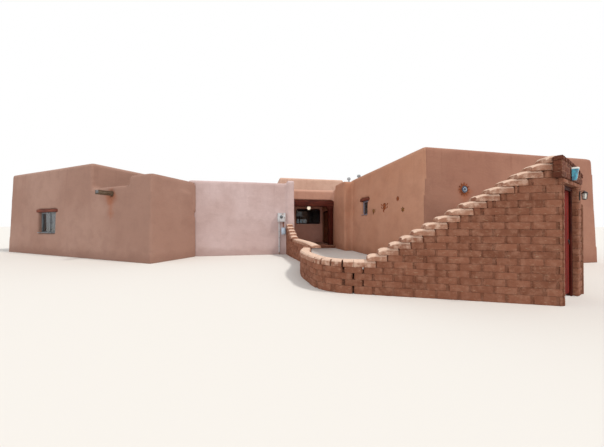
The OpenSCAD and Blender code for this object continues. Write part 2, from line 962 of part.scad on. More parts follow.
module meter_boxes() {
  x = pier_x0 - meter_from_pier;
  half = meter_w / 2;
  pipe_x = x - half + pipe_w;
  low_top = meter_z - meter_w * 0.8;
  color([0.85, 0.86, 0.88]) {
    on_meter_wall(x - half, x + half, meter_z, meter_z + meter_h, meter_deep);
    on_meter_wall(x + half - meter_w / 2, x + half, low_top - meter_h * 0.8, low_top,
                  meter_deep * 0.7);
    on_meter_wall(pipe_x, pipe_x + pipe_w, 0, meter_z - SEAT, pipe_w * 0.8);
  }
}

// A vent pipe with a cap, standing on the east roof
module vent(x, y) {
  cap_h = vent_d * 1.1;
  translate([x, y, east_h - east_parapet_h]) {
    cylinder(d = vent_d, h = vent_h);
    translate([0, 0, vent_h - cap_h]) cylinder(d1 = vent_d * 1.8, d2 = vent_d * 1.45, h = cap_h);
  }
}

module roof_vents() {
  color([0.6, 0.6, 0.6]) {
    vent(east_x0 + vent_in, court_end_y + vent_apart * 1.4);
    vent(east_x0 + vent_in + vent_apart * 0.3, court_end_y + vent_apart * 0.4);
  }
}

// Garden wall

// The wall's centre line is walked from the pier. Each leg is [length, turn in degrees]
start_heading = 6;
// The line starts inside the pier, so that the wall meets all of the pier's leaning face
pier_lap = 150;
turn_a = -24;
turn_b = 23;
turn_c = 62;
LEGS = [
  [pier_lap + run_a, 0],
  [bend_a_r * abs(turn_a) * PI / 180, turn_a],
  [run_b, 0],
  [bend_b_r * abs(turn_b) * PI / 180, turn_b],
  [run_c, 0],
  [bend_c_r * abs(turn_c) * PI / 180, turn_c],
  [run_d, 0]
];
// The wall's outer face stands out this far to the left of the pier
garden_out = 90;
garden_start = [pier_x0 + garden_t / 2 - garden_out, -pier_run + pier_lap];

// Heading vector at an angle from the way out of the court, turning towards +X
function along(a) = [sin(a), -cos(a)];
function inward(a) = [cos(a), sin(a)];

// Where a leg ends that starts at p with heading a
function leg_end(p, a, len, turn) =
  turn == 0 ? p + along(a) * len
  : let (r = len / (turn * PI / 180)) p + inward(a) * r - inward(a + turn) * r;

// [place, heading] after a distance s along the legs from number i on
function walk(s, i = 0, p = garden_start, a = start_heading) =
  let (leg = LEGS[i], last = i == len(LEGS) - 1)
  (s <= leg[0] || last)
    ? let (part = s / leg[0]) [leg_end(p, a, s, leg[1] * part), a + leg[1] * part]
    : walk(s - leg[0], i + 1, leg_end(p, a, leg[0], leg[1]), a + leg[1]);

function total(n) = n == 0 ? 0 : LEGS[n - 1][0] + total(n - 1);
garden_len = round(total(len(LEGS)));
corner_end = round(total(len(LEGS) - 1));

// Height of the top of a course, and where each course ends on the fall and begins on the rise
function top_of(n) = bed_h + n * course_h;
dip_s = round(total(2) + run_b / 2);
function fall_end(n) =
  n == low_courses + 1 ? dip_s : pier_lap + (pier_courses - n + 1) * fall_tread;
function rise_start(n) = garden_len - peak_w - (gate_courses - n) * rise_tread;
fall_lap = brick_l - fall_tread;

// Stations at which the bends are divided, about 8 degrees apart
function leg_stations(i) =
  let (n = max(1, ceil(abs(LEGS[i][1]) / 8)))
  [for (j = [0 : n - 1]) round(total(i) + LEGS[i][0] * j / n)];
BENDS = [for (i = [0 : len(LEGS) - 1]) each leg_stations(i)];

// Every course of the body, and every coping brick, is divided at the same stations as the rest,
// so that their faces agree. A bend's station that lies close to a course's end is left out
function sorted(v) = len(v) < 2 ? v : concat(
  sorted([for (s = v) if (s < v[0]) s]), [v[0]], sorted([for (s = v) if (s > v[0]) s])
);
function stations(ends) =
  sorted(concat(ends, [for (b = BENDS) if (min([for (e = ends) abs(e - b)]) > near) b]));
near = 5;
BODY_STATIONS = stations(concat(
  [for (n = [low_courses + 1 : pier_courses]) fall_end(n) - fall_lap - SEAT],
  [for (n = [low_courses : gate_courses - 1]) rise_start(n) + brick_l + SEAT],
  [corner_end]
));
COPING_STATIONS = stations(concat(
  [for (n = [low_courses + 1 : pier_courses]) each [fall_end(n), fall_end(n) - fall_lap]],
  [for (n = [low_courses : gate_courses]) each [rise_start(n), rise_start(n) + brick_l]]
));
function between(s0, s1, marks) = concat([s0], [for (s = marks) if (s > s0 && s < s1) s], [s1]);

// Plan of a stretch of wall between two stations, out by the same distance on each side
function plan(s0, s1, half, marks) =
  let (places = [for (s = between(s0, s1, marks)) walk(s)], n = len(places)) concat(
    [for (w = places) w[0] - inward(w[1]) * half],
    [for (i = [n - 1 : -1 : 0]) places[i][0] + inward(places[i][1]) * half]
  );

module body_stretch(s0, s1, z1) {
  linear_extrude(z1) polygon(plan(s0, s1, garden_t / 2, BODY_STATIONS));
}

module coping_stretch(s0, s1, z0, z1) {
  translate([0, 0, z0]) linear_extrude(z1 - z0)
    polygon(plan(s0, s1, garden_t / 2 + coping_out, COPING_STATIONS));
}

// The body of the wall between two stations, under the coping
module garden_body(from, to) {
  body_stretch(from, to, top_of(low_courses - 1));
  if (from == 0)
    for (n = [low_courses : pier_courses - 1])
      body_stretch(0, fall_end(n + 1) - fall_lap - SEAT, top_of(n));
  if (from > 0)
    for (n = [low_courses : gate_courses - 1])
      body_stretch(rise_start(n) + brick_l + SEAT, to, top_of(n));
}

// The coping bricks. On a rise or a fall, each lies partly on the one below it
module coping() {
  for (n = [low_courses + 1 : pier_courses])
    coping_stretch(n == pier_courses ? 0 : fall_end(n + 1) - fall_lap, fall_end(n),
                   top_of(n - 1), top_of(n));
  coping_stretch(dip_s - fall_lap, rise_start(low_courses) + brick_l, top_of(low_courses - 1),
                 top_of(low_courses));
  for (n = [low_courses + 1 : gate_courses])
    coping_stretch(rise_start(n), n == gate_courses ? garden_len : rise_start(n) + brick_l,
                   top_of(n - 1), top_of(n));
}

// What the garden wall meets at its two ends
module garden_ends() {
  entry_pier();
  west_mass();
  gate_mass();
  gateway_cut();
}

module garden_wall_low() {
  color([0.5, 0.37, 0.29]) difference() {
    garden_body(0, corner_end);
    garden_ends();
  }
}

module garden_wall_rise() {
  color([0.56, 0.36, 0.28]) difference() {
    garden_body(corner_end, garden_len);
    garden_ends();
  }
}

module garden_wall_coping() {
  color([0.75, 0.6, 0.52]) difference() {
    coping();
    garden_ends();
  }
}

// Gate

gate_corner = walk(garden_len)[0] - inward(walk(garden_len)[1]) * garden_t / 2;
arch_w = jamb_left_w + gate_w + jamb_w;

// The gateway's frame: X along it from the garden wall's outer corner, Y into the court
module at_gateway() {
  translate([gate_corner[0], gate_corner[1], 0]) rotate(gate_turn) children();
}

// The gate wall's outline from x0 to its right end and from z0 up to a top that falls in a curve
module gate_outline(x0, z0) {
  n = 8;
  run = arch_w + hood_side_w;
  function top_at(x) = hood_h - hood_fall * pow((x + hood_side_w) / run, 2);
  polygon(concat(
    [[x0, z0], [arch_w, z0]],
    [for (i = [n : -1 : 0]) let (x = x0 + (arch_w - x0) * i / n) [x, top_at(x)]]
  ));
}

// The gate wall as a whole, before its opening is cut, with the hood that stands out above it
module gate_mass() {
  at_gateway() {
    translate([0, gate_wall_t, 0]) rotate([90, 0, 0])
      linear_extrude(gate_wall_t) gate_outline(0, 0);
    translate([0, gate_wall_t, 0]) rotate([90, 0, 0])
      linear_extrude(gate_wall_t + hood_front) gate_outline(-hood_side_w, gate_h + hood_rise);
  }
}

module gateway_cut() {
  at_gateway() block(jamb_left_w, jamb_left_w + gate_w, -wall_t, wall_t * 2, -1, gate_h);
}

module gate_arch() {
  color([0.5, 0.32, 0.25]) difference() {
    gate_mass();
    gateway_cut();
  }
}

module at_gate() {
  at_gateway() translate([jamb_left_w, 0, 0]) children();
}

module gate_frame() {
  color([0.3, 0.13, 0.1]) at_gate() leaf_frame(gate_w, 0, gate_h, gate_setback, gate_t);
}

module garden_gate() {
  color([0.4, 0.13, 0.1]) at_gate() leaf(gate_w, 0, gate_h, gate_lift, gate_setback, gate_t);
}

// The wall from the gate's right jamb to the front of the east wing
module court_return_wall() {
  jamb_end = [
    gate_corner[0] + arch_w * cos(gate_turn) - garden_t * sin(gate_turn),
    gate_corner[1] + arch_w * sin(gate_turn) + garden_t * cos(gate_turn)
  ];
  x1 = jamb_end[0] + garden_t * cos(gate_turn) * 0.4;
  color([0.5, 0.35, 0.28]) difference() {
    block(x1 - garden_t, x1, jamb_end[1] - garden_t, east_y0 + wall_t / 2, 0,
          bed_h + return_courses * course_h);
    east_mass();
    gate_mass();
  }
}

// A small lantern on the right jamb
module gate_lantern() {
  d = lantern_h * 0.45;
  plate_t = lantern_h * 0.07;
  out = d * 0.82;
  arm_z = lantern_h * 0.7;
  color([0.1, 0.1, 0.1]) at_gateway()
    translate([jamb_left_w + gate_w + jamb_w * 0.35, 0, lantern_z]) {
      block(-d / 3, d / 3, -plate_t, 0, 0, lantern_h);
      block(-plate_t, plate_t, -out, -plate_t, arm_z, arm_z + plate_t * 2);
      translate([0, -out, arm_z - d * 1.4]) cylinder(d1 = d * 0.74, d2 = d, h = d * 1.4);
      translate([0, -out, arm_z]) cylinder(d1 = d * 1.2, d2 = d * 0.2, h = d * 0.6);
    }
}

// A half round pocket of glazed clay on the hood
module gate_pocket() {
  h = pocket_d * 1.45;
  r = pocket_d / 2;
  color([0.2, 0.62, 0.66]) at_gateway()
    translate([jamb_left_w + gate_w * 0.4, -hood_front, gate_h + hood_rise + pocket_lift])
    difference() {
      intersection() {
        cylinder(r1 = r * 0.6, r2 = r, h = h);
        block(-r, r, -r, 0, 0, h);
      }
      translate([0, 0, pocket_t * 2]) intersection() {
        cylinder(r1 = r * 0.6 - pocket_t, r2 = r - pocket_t, h = h);
        block(-r, r, -r, -pocket_t, 0, h);
      }
    }
}

// Ornaments

// A flat shape on the court wall, centred at [y, z]. Its back follows the wall's lean
module on_court_wall(y, z) {
  x = east_x0 + leaned(z) - ornament_t;
  difference() {
    translate([x, y, z]) rotate([90, 0, 90]) linear_extrude(wall_t / 2) children();
    east_mass();
  }
}

// A lizard: a body, a tail, four bent legs and a round head
module lizard(h) {
  scale(h / 100) {
    translate([-6, -20]) square([12, 42]);
    translate([0, 28]) circle(r = 10);
    for (side = [-1, 1]) for (y = [-14, 16])
      translate([side * 12, y]) rotate(side * 20) square([20, 6], center = true);
    for (side = [-1, 1]) for (y = [-14, 16])
      translate([side * 20, y + 6]) square([6, 16], center = true);
    polygon([[-6, -18], [6, -18], [10, -36], [2, -50], [3, -36]]);
  }
}

// A star with n points
module star(r, n) {
  polygon([for (i = [0 : 2 * n - 1])
    let (a = i * 180 / n, d = i % 2 == 0 ? r : r * 0.55) [d * cos(a), d * sin(a)]]);
}

module wall_ornaments() {
  run = court_depth;
  color([0.5, 0.28, 0.18]) {
    on_court_wall(east_y0 + run * 0.44, east_h * 0.524) lizard(lizard_l * 0.66);
    on_court_wall(east_y0 + run * 0.32, east_h * 0.544) lizard(lizard_l);
    on_court_wall(east_y0 + run * 0.197, east_h * 0.607) star(star_d / 2, 8);
    on_court_wall(east_y0 + run * 0.154, east_h * 0.498) star(star_d / 2, 6);
  }
}

module sun_ornament() {
  z = east_h * 0.653;
  y = east_y0 + leaned(z) - ornament_t;
  color([0.6, 0.3, 0.18]) difference() {
    translate([east_x0 + east_w * 0.21, y + wall_t / 2, z]) rotate([90, 0, 0])
      linear_extrude(wall_t / 2) star(sun_d / 2, sun_rays);
    east_mass();
  }
}

east_front_wall();
east_court_wall();
east_outer_wall();
east_back_wall();
court_buttress();
porch_east_wall();
entry_door_head();
entry_door_frame();
entry_door();
portal_parapet();
portal_beam();
portal_post();
portal_corbel();
portal_vigas();
portal_deck();
porch_floor();
porch_lamp();
hall_front_wall();
hall_west_wall();
hall_east_wall();
hall_back_wall();
west_front_wall();
entry_pier();
west_outer_wall();
west_back_wall();
wing_front_wall();
wing_end_wall();
wing_back_wall();
wing_party_wall();
low_front_wall();
step_front_wall();
step_side_wall();
roof_decks();
room_floors();
window_lintels();
slider_frame();
court_window_frame();
plain_window_frames();
window_glass();
canale();
meter_boxes();
roof_vents();
garden_wall_low();
garden_wall_rise();
garden_wall_coping();
gate_arch();
court_return_wall();
gate_frame();
garden_gate();
gate_lantern();
gate_pocket();
wall_ornaments();
sun_ornament();
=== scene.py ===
"""Looks of the adobe house: plaster skins, adobe bricks, woodwork, glass, fittings and roofs."""
import math
import random

import bmesh
import bpy
from mathutils import Matrix, Vector, noise


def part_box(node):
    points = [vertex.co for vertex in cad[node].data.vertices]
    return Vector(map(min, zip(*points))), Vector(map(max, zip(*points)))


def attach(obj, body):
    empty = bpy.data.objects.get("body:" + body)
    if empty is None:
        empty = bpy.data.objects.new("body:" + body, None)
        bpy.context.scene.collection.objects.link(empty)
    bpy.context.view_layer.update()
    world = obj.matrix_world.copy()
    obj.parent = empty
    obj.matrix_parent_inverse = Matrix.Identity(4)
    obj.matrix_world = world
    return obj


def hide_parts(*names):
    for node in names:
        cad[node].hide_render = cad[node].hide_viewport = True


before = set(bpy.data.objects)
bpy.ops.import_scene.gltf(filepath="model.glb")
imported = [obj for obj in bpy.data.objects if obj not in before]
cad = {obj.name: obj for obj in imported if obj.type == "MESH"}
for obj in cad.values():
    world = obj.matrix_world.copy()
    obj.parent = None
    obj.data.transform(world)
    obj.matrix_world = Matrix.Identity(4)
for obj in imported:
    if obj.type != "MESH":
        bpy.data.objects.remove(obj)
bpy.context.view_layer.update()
HOUSE, DOOR, GATE = "house", "entry_door_leaf", "garden_gate_leaf"
dice = random.Random(11)


def srgb(r, g, b):
    """A colour as a paint chart gives it, 0 to 255, as the linear value that a shader takes."""
    lin = [(c / 255 / 12.92) if c <= 10 else ((c / 255 + 0.055) / 1.055) ** 2.4 for c in (r, g, b)]
    return (*lin, 1.0)


# Node trees

class Web:
    """A node tree in the making."""

    def __init__(self, tree):
        self.tree = tree

    def add(self, kind, inputs=None, **settings):
        made = self.tree.nodes.new("ShaderNode" + kind)
        for key, value in settings.items():
            setattr(made, key, value)
        for key, value in (inputs or {}).items():
            if isinstance(value, bpy.types.NodeSocket):
                self.tree.links.new(value, made.inputs[key])
            else:
                made.inputs[key].default_value = value
        return made

    def noise(self, vector, scale, detail=3, rough=0.55):
        return self.add("TexNoise", {"Vector": vector, "Scale": scale, "Detail": detail,
                                     "Roughness": rough}).outputs["Fac"]

    def math(self, what, a, b=0.0, c=0.0, clamp=False):
        return self.add("Math", {0: a, 1: b, 2: c}, operation=what, use_clamp=clamp).outputs[0]

    def times(self, a, b):
        return self.math("MULTIPLY", a, b)

    def plus(self, a, b):
        return self.math("ADD", a, b)

    def minus(self, a, b):
        return self.math("SUBTRACT", a, b)

    def over(self, a, b):
        return self.math("DIVIDE", a, b)

    def sum_of(self, a, share, rest):
        """A share of a value, added to the rest."""
        return self.math("MULTIPLY_ADD", a, share, rest)

    def vectors(self, what, a, b):
        return self.add("VectorMath", {0: a, 1: b}, operation=what).outputs[0]

    def split(self, vector):
        return self.add("SeparateXYZ", {"Vector": vector}).outputs

    def band(self, value, low, high, out_low=0.0, out_high=1.0, smooth=True):
        return self.add("MapRange", {"Value": value, "From Min": low, "From Max": high,
                                     "To Min": out_low, "To Max": out_high},
                        interpolation_type="SMOOTHSTEP" if smooth else "LINEAR").outputs["Result"]

    def mix(self, fac, a, b, blend="MIX"):
        return self.add("Mix", {"Factor": fac, 6: a, 7: b}, data_type="RGBA",
                        blend_type=blend).outputs[2]

    def shaded(self, colour, value):
        """A colour times one value."""
        grey = self.add("CombineColor", {"Red": value, "Green": value, "Blue": value}).outputs[0]
        return self.mix(1.0, colour, grey, "MULTIPLY")

    def stretch(self, vector, scale, turn=(0, 0, 0)):
        return self.add("Mapping", {"Vector": vector, "Scale": scale,
                                    "Rotation": turn}).outputs["Vector"]


def effect(name, vectors, colours, values):
    """An empty node group with named sockets. Returns its web, its inputs and its exits."""
    tree = bpy.data.node_groups.new(name, "ShaderNodeTree")
    for kind, labels in (("Vector", vectors), ("Color", colours), ("Float", values)):
        for label in labels:
            made = tree.interface.new_socket(label, in_out="INPUT",
                                             socket_type="NodeSocket" + kind)
            if kind == "Float":
                made.default_value = values[label]
    for label, kind in (("Color", "Color"), ("Roughness", "Float"), ("Height", "Float")):
        tree.interface.new_socket(label, in_out="OUTPUT", socket_type="NodeSocket" + kind)
    get, put = tree.nodes.new("NodeGroupInput"), tree.nodes.new("NodeGroupOutput")
    return Web(tree), get.outputs, put.inputs


def closed(web, exits, colour, rough, height):
    """Joins the three results to the group's exits."""
    for key, value in (("Color", colour), ("Roughness", rough), ("Height", height)):
        web.tree.links.new(value, exits[key])
    return web.tree


def plaster_effect():
    """Mud plaster: clouded colour, run-off under the top, splash at the foot, sand and trowel."""
    web, get, put = effect("mud_plaster", ("Vector", "Rust at"), ("Colour", "Pale", "Dark"), {
        "Top": 3.4, "Rusted": 0.0, "Rust size": 0.2, "Rust run": 0.5})
    at = get["Vector"]
    z = web.split(at)["Z"]
    clouds = web.times(web.band(web.noise(at, 0.42, 3, 0.6), 0.36, 0.66), 0.5)
    blots = web.band(web.noise(at, 1.9, 5, 0.62), 0.4, 0.68)
    specks = web.noise(at, 46, 2, 0.7)
    grit = web.noise(at, 150, 2, 0.6)
    runs = web.band(web.noise(web.stretch(at, (5.5, 5.5, 0.34)), 1.0, 4, 0.6), 0.52, 0.74)
    under = web.band(web.minus(get["Top"], z), 0.05, 1.5, 1, 0)
    splash_top = web.sum_of(web.noise(at, 2.6, 4, 0.6), 0.5, 0.06)
    splash = web.times(web.band(web.minus(splash_top, z), -0.12, 0.2), 0.5)
    colour = web.mix(clouds, get["Colour"], get["Pale"])
    for share in (web.times(web.times(blots, 0.5), 0.55),
                  web.times(web.times(runs, under), 0.4), splash):
        colour = web.mix(share, colour, get["Dark"])
    cap = web.band(web.minus(z, get["Top"]), -0.11, -0.01, 0, 0.4)
    colour = web.mix(cap, colour, get["Pale"])
    off = web.split(web.vectors("SUBTRACT", at, get["Rust at"]))
    aside = web.math("SQRT", web.plus(web.times(off["X"], off["X"]),
                                      web.times(off["Y"], off["Y"])))
    below = web.over(web.math("MAXIMUM", web.times(off["Z"], -1.0), 0.0), get["Rust run"])
    above = web.over(web.math("MAXIMUM", off["Z"], 0.0), get["Rust size"])
    far = web.plus(web.over(aside, get["Rust size"]), web.plus(below, above))
    rust = web.band(web.sum_of(blots, -0.35, far), -0.1, 1.05, 1, 0)
    colour = web.mix(web.times(rust, get["Rusted"]), colour, srgb(160, 88, 50))
    shade = web.band(web.plus(web.times(specks, 0.6), web.times(grit, 0.4)),
                     0.3, 0.7, 0.9, 1.07, False)
    trowel = web.noise(web.stretch(at, (1.0, 1.0, 2.3)), 3.1, 4, 0.55)
    height = web.sum_of(grit, 0.07, web.sum_of(trowel, 0.9, web.times(specks, 0.16)))
    return closed(web, put, web.shaded(colour, shade),
                  web.band(blots, 0, 1, 0.94, 0.84, False), height)


def earth_effect():
    """Sun-dried brick or mud: a tone of its own for each brick, straw, pits, and tops made paler,
    partly dust and partly painted sunlight.
    """
    web, get, put = effect("dried_earth", ("Vector",), ("Colour", "Second", "Dust and top light"), {
        "Tone": 0.5, "Top dust and light": 0.5})
    at = get["Vector"]
    lumps = web.noise(at, 9, 5, 0.65)
    pits = web.add("TexVoronoi", {"Vector": at, "Scale": 34.0, "Randomness": 1.0}).outputs[0]
    pit = web.band(pits, 0.05, 0.3)
    straw = web.noise(web.stretch(at, (14, 14, 90), (0.3, 0.2, 0.5)), 1.0, 2, 0.5)
    grit = web.noise(at, 120, 3, 0.7)
    colour = web.mix(get["Tone"], get["Colour"], get["Second"])
    colour = web.mix(web.band(lumps, 0.42, 0.7, 0, 0.55), colour, get["Dust and top light"])
    colour = web.mix(web.times(web.band(straw, 0.66, 0.72), 0.4), colour, (0.55, 0.42, 0.27, 1))
    # Faces that look up are made paler: partly dust, partly painted light where the sun falls on
    # tops.
    up = web.split(web.add("NewGeometry").outputs["Normal"])["Z"]
    colour = web.mix(web.times(web.band(up, 0.22, 0.8), get["Top dust and light"]), colour, get["Dust and top light"])
    dark = web.sum_of(pit, 0.22, web.sum_of(grit, 0.3, 0.64))
    height = web.sum_of(grit, 0.18, web.sum_of(lumps, 1.0, web.times(pit, 0.35)))
    return closed(web, put, web.shaded(colour, dark),
                  web.band(lumps, 0.2, 0.8, 0.96, 0.86, False), height)


def timber_effect():
    """Wood with its grain along X: rings, pores, cracks, and a dry grey where it has weathered."""
    web, get, put = effect("timber", ("Vector",), ("Colour", "Dark", "Worn"), {
        "Wear": 0.3, "Gloss": 0.4})
    at = get["Vector"]
    bend = web.noise(web.stretch(at, (0.8, 2.2, 2.2)), 1.0, 3, 0.5)
    sway = web.add("CombineXYZ", {"X": 0.0, "Y": web.times(bend, 9.0), "Z": 0.0}).outputs[0]
    rings = web.noise(web.vectors("ADD", web.stretch(at, (0.9, 26, 26)), sway), 1.0, 4, 0.6)
    pores = web.noise(web.stretch(at, (9, 210, 210)), 1.0, 2, 0.6)
    cracks = web.band(web.noise(web.stretch(at, (1.1, 34, 34)), 1.0, 3, 0.6), 0.62, 0.67)
    worn = web.times(web.band(web.noise(at, 3.2, 5, 0.65), 0.42, 0.7), get["Wear"])
    colour = web.mix(web.band(rings, 0.34, 0.66), get["Dark"], get["Colour"])
    colour = web.mix(worn, colour, get["Worn"])
    colour = web.mix(web.times(cracks, 0.75), colour, get["Dark"])
    shade = web.band(pores, 0.3, 0.7, 0.86, 1.08, False)
    height = web.minus(web.sum_of(rings, 0.5, web.times(pores, 0.25)), web.times(cracks, 0.8))
    rough = web.math("MULTIPLY_ADD", worn, 0.3, web.minus(0.85, get["Gloss"]), clamp=True)
    return closed(web, put, web.shaded(colour, shade),
                  web.math("MULTIPLY_ADD", pores, 0.12, rough, clamp=True), height)


def coat_effect():
    """Paint, metal or glaze that dirt and rust have reached in patches."""
    web, get, put = effect("worn_coat", ("Vector",), ("Colour", "Dirt"), {
        "Amount": 0.3, "Scale": 8.0, "Smooth": 0.4, "Rough": 0.8})
    at = get["Vector"]
    big = web.noise(at, get["Scale"], 6, 0.68)
    fine = web.noise(at, web.times(get["Scale"], 11.0), 3, 0.6)
    edge = web.minus(0.78, web.times(get["Amount"], 0.5))
    mask = web.band(web.sum_of(fine, 0.16, big), edge, web.plus(edge, 0.14))
    shade = web.band(fine, 0.25, 0.75, 0.88, 1.08, False)
    rough = web.add("Mix", {"Factor": mask, 2: get["Smooth"], 3: get["Rough"]},
                    data_type="FLOAT").outputs[0]
    return closed(web, put, web.shaded(web.mix(mask, get["Colour"], get["Dirt"]), shade), rough,
                  web.sum_of(mask, 0.6, web.times(fine, 0.4)))


def gravel_effect():
    """Small stones pressed into roofing."""
    web, get, put = effect("loose_gravel", ("Vector",), ("Colour", "Second"), {"Scale": 30.0})
    at = get["Vector"]
    cells = web.add("TexVoronoi", {"Vector": at, "Scale": get["Scale"]}).outputs
    tone = web.add("SeparateColor", {"Color": cells["Color"]}).outputs[0]
    drift = web.band(web.noise(at, 0.8, 4, 0.6), 0.35, 0.7)
    colour = web.mix(web.sum_of(drift, 0.4, web.times(tone, 0.6)), get["Colour"], get["Second"])
    gap = web.band(cells["Distance"], 0.2, 0.62, 1, 0.6)
    return closed(web, put, web.shaded(colour, gap), web.band(tone, 0, 1, 0.8, 0.95, False), gap)


# The angled wing's frame, and the spout's place on it
WING_LEN, WING_DEEP, WALL = 9.95, 6.0, 0.36
WING = (Matrix.Translation((-5.64, -2.45, 0)) @ Matrix.Rotation(math.radians(-32), 4, "Z")
        @ Matrix.Translation((-WING_LEN, -1.97, 0)))
SPOUT = WING @ Matrix.Translation((7.75, 0, 2.4))

# Materials

MAT = {}


def finish_of(name, tree, values, bump, depth, shader, grain=False, tone=False):
    """A material: one effect on Object or grain coordinates, its bump, and the shader's values."""
    made = bpy.data.materials.new(name)
    made.use_nodes = True
    made.node_tree.nodes.clear()
    web = Web(made.node_tree)
    if grain:
        at = web.add("Attribute", attribute_name="grain").outputs["Vector"]
    else:
        at = web.add("TexCoord").outputs["Object"]
    used = web.add("Group", node_tree=tree)
    web.tree.links.new(at, used.inputs["Vector"])
    if tone:
        web.tree.links.new(web.add("Attribute", attribute_name="tone").outputs["Fac"],
                           used.inputs["Tone"])
    for key, value in values.items():
        socket = used.inputs[key]
        socket.default_value = srgb(*value) if socket.type == "RGBA" else value
    relief = web.add("Bump", {"Height": used.outputs["Height"], "Strength": bump,
                              "Distance": depth})
    shade = web.add("BsdfPrincipled", {"Base Color": used.outputs["Color"],
                                       "Roughness": used.outputs["Roughness"],
                                       "Normal": relief.outputs["Normal"], **shader})
    web.add("OutputMaterial", {"Surface": shade.outputs["BSDF"]})
    made.diffuse_color = srgb(*values["Colour"])
    MAT[name] = made


def gloss(level):
    return {"Specular IOR Level": level}


# Plasters: the colour, its pale clouds, its dark runs, and the height of the wall's top. The
# parapet, court and porch plasters are lighter copies of the east and hall plasters, painted light
# for walls that lie in shade
PLASTER = plaster_effect()
STAINS = {"east_plaster": ((3.02, -6.74, 2.34), 0.36, 0.55),
          "wing_plaster": (tuple(SPOUT @ Vector((0, 0.03, -0.02))), 0.42, 1.1)}
for name, colour, pale, dark, top in (
    ("east_plaster", (157, 110, 91), (173, 127, 106), (134, 88, 71), 3.66),
    ("hall_plaster", (210, 169, 148), (223, 187, 167), (180, 133, 113), 4.46),
    # The parapet's plaster is the east plaster made lighter: painted light where the parapet lies
    # in shade.
    ("parapet_painted_light", (196, 148, 126), (212, 170, 150), (166, 116, 96), 3.24),
    # The court's plaster is the east plaster made lighter: painted light on walls that face away
    # from the key light.
    ("court_painted_light", (185, 133, 106), (200, 152, 127), (156, 106, 83), 3.6),
    # The porch's plaster is the hall plaster made lighter: painted light on the wall in the
    # porch's shade.
    ("porch_painted_light", (226, 170, 150), (232, 182, 164), (196, 136, 116), 3.2),
    ("west_plaster", (198, 172, 167), (216, 195, 193), (167, 138, 131), 3.25),
    ("wing_plaster", (158, 122, 107), (178, 144, 129), (136, 101, 87), 3.72),
):
    values = {"Colour": colour, "Pale": pale, "Dark": dark, "Top": top}
    if name in STAINS:
        values.update(zip(("Rust at", "Rust size", "Rust run"), STAINS[name]), Rusted=0.6)
    finish_of(name, PLASTER, values, 0.55, 0.02, gloss(0.25))

# Earth: two tones and the dust on them, which also paints the tops paler as if sunlit. A brick has
# its own tone, mortar and floor an even one
EARTH = earth_effect()
for name, colour, second, dust_and_top_light, top_dust_and_light, even, bump, depth, level in (
    ("adobe_brick", (116, 71, 52), (137, 88, 67), (160, 115, 93), 0.42, None, 0.7, 0.012, 0.2),
    # The coping's pale tops are painted sunlight as well as dust.
    ("coping_brick", (136, 90, 70), (158, 112, 90), (224, 192, 170), 0.95, None, 0.7, 0.012, 0.2),
    # The hood's bricks are the adobe bricks made darker: painted shade of the hood's side and
    # eave.
    ("hood_brick", (80, 41, 28), (100, 54, 38), (118, 74, 54), 0.3, None, 0.8, 0.014, 0.2),
    ("mud_mortar", (112, 70, 52), (128, 84, 64), (150, 108, 88), 0.4, 0.5, 0.8, 0.015, 0.2),
    ("clay_tile", (150, 92, 70), (172, 112, 86), (186, 146, 124), 0.35, None, 0.25, 0.004, 0.4),
    ("clay_floor", (150, 96, 74), (166, 112, 90), (182, 142, 122), 0.4, 0.4, 0.35, 0.006, 0.35),
):
    values = {"Colour": colour, "Second": second, "Dust and top light": dust_and_top_light, "Top dust and light": top_dust_and_light}
    if even is not None:
        values["Tone"] = even
    finish_of(name, EARTH, values, bump, depth, gloss(level), tone=even is None)
finish_of("roof_gravel", gravel_effect(), {
    "Colour": (196, 186, 176), "Second": (150, 136, 126), "Scale": 38.0}, 0.6, 0.01, gloss(0.3))

# Woods: the colour, its dark rings, where it is worn, then wear, gloss and relief
TIMBER = timber_effect()
for name, colour, dark, worn, wear, shine, level, bump, depth in (
    ("red_wood", (98, 36, 22), (58, 19, 12), (124, 66, 46), 0.4, 0.15, 0.25, 0.6, 0.006),
    ("dark_wood", (80, 23, 11), (44, 12, 6), (104, 44, 26), 0.3, 0.2, 0.15, 0.5, 0.005),
    ("door_wood", (146, 92, 62), (92, 52, 34), (170, 120, 90), 0.3, 0.25, 0.25, 0.5, 0.005),
    ("lintel_wood", (120, 56, 38), (78, 32, 22), (146, 86, 64), 0.4, 0.15, 0.25, 0.6, 0.006),
    ("grey_wood", (104, 84, 66), (58, 40, 30), (142, 130, 112), 0.5, 0.1, 0.2, 0.6, 0.006),
    ("gate_wood", (130, 26, 16), (78, 14, 8), (140, 46, 30), 0.2, 0.15, 0.15, 0.6, 0.006),
    ("dark_frame", (62, 42, 34), (40, 26, 22), (104, 76, 62), 0.25, 0.35, 0.25, 0.35, 0.003),
):
    finish_of(name, TIMBER, {"Colour": colour, "Dark": dark, "Worn": worn, "Wear": wear,
                             "Gloss": shine}, bump, depth, gloss(level), grain=True)


def glazed(weight, rough):
    return {"Coat Weight": weight, "Coat Roughness": rough}


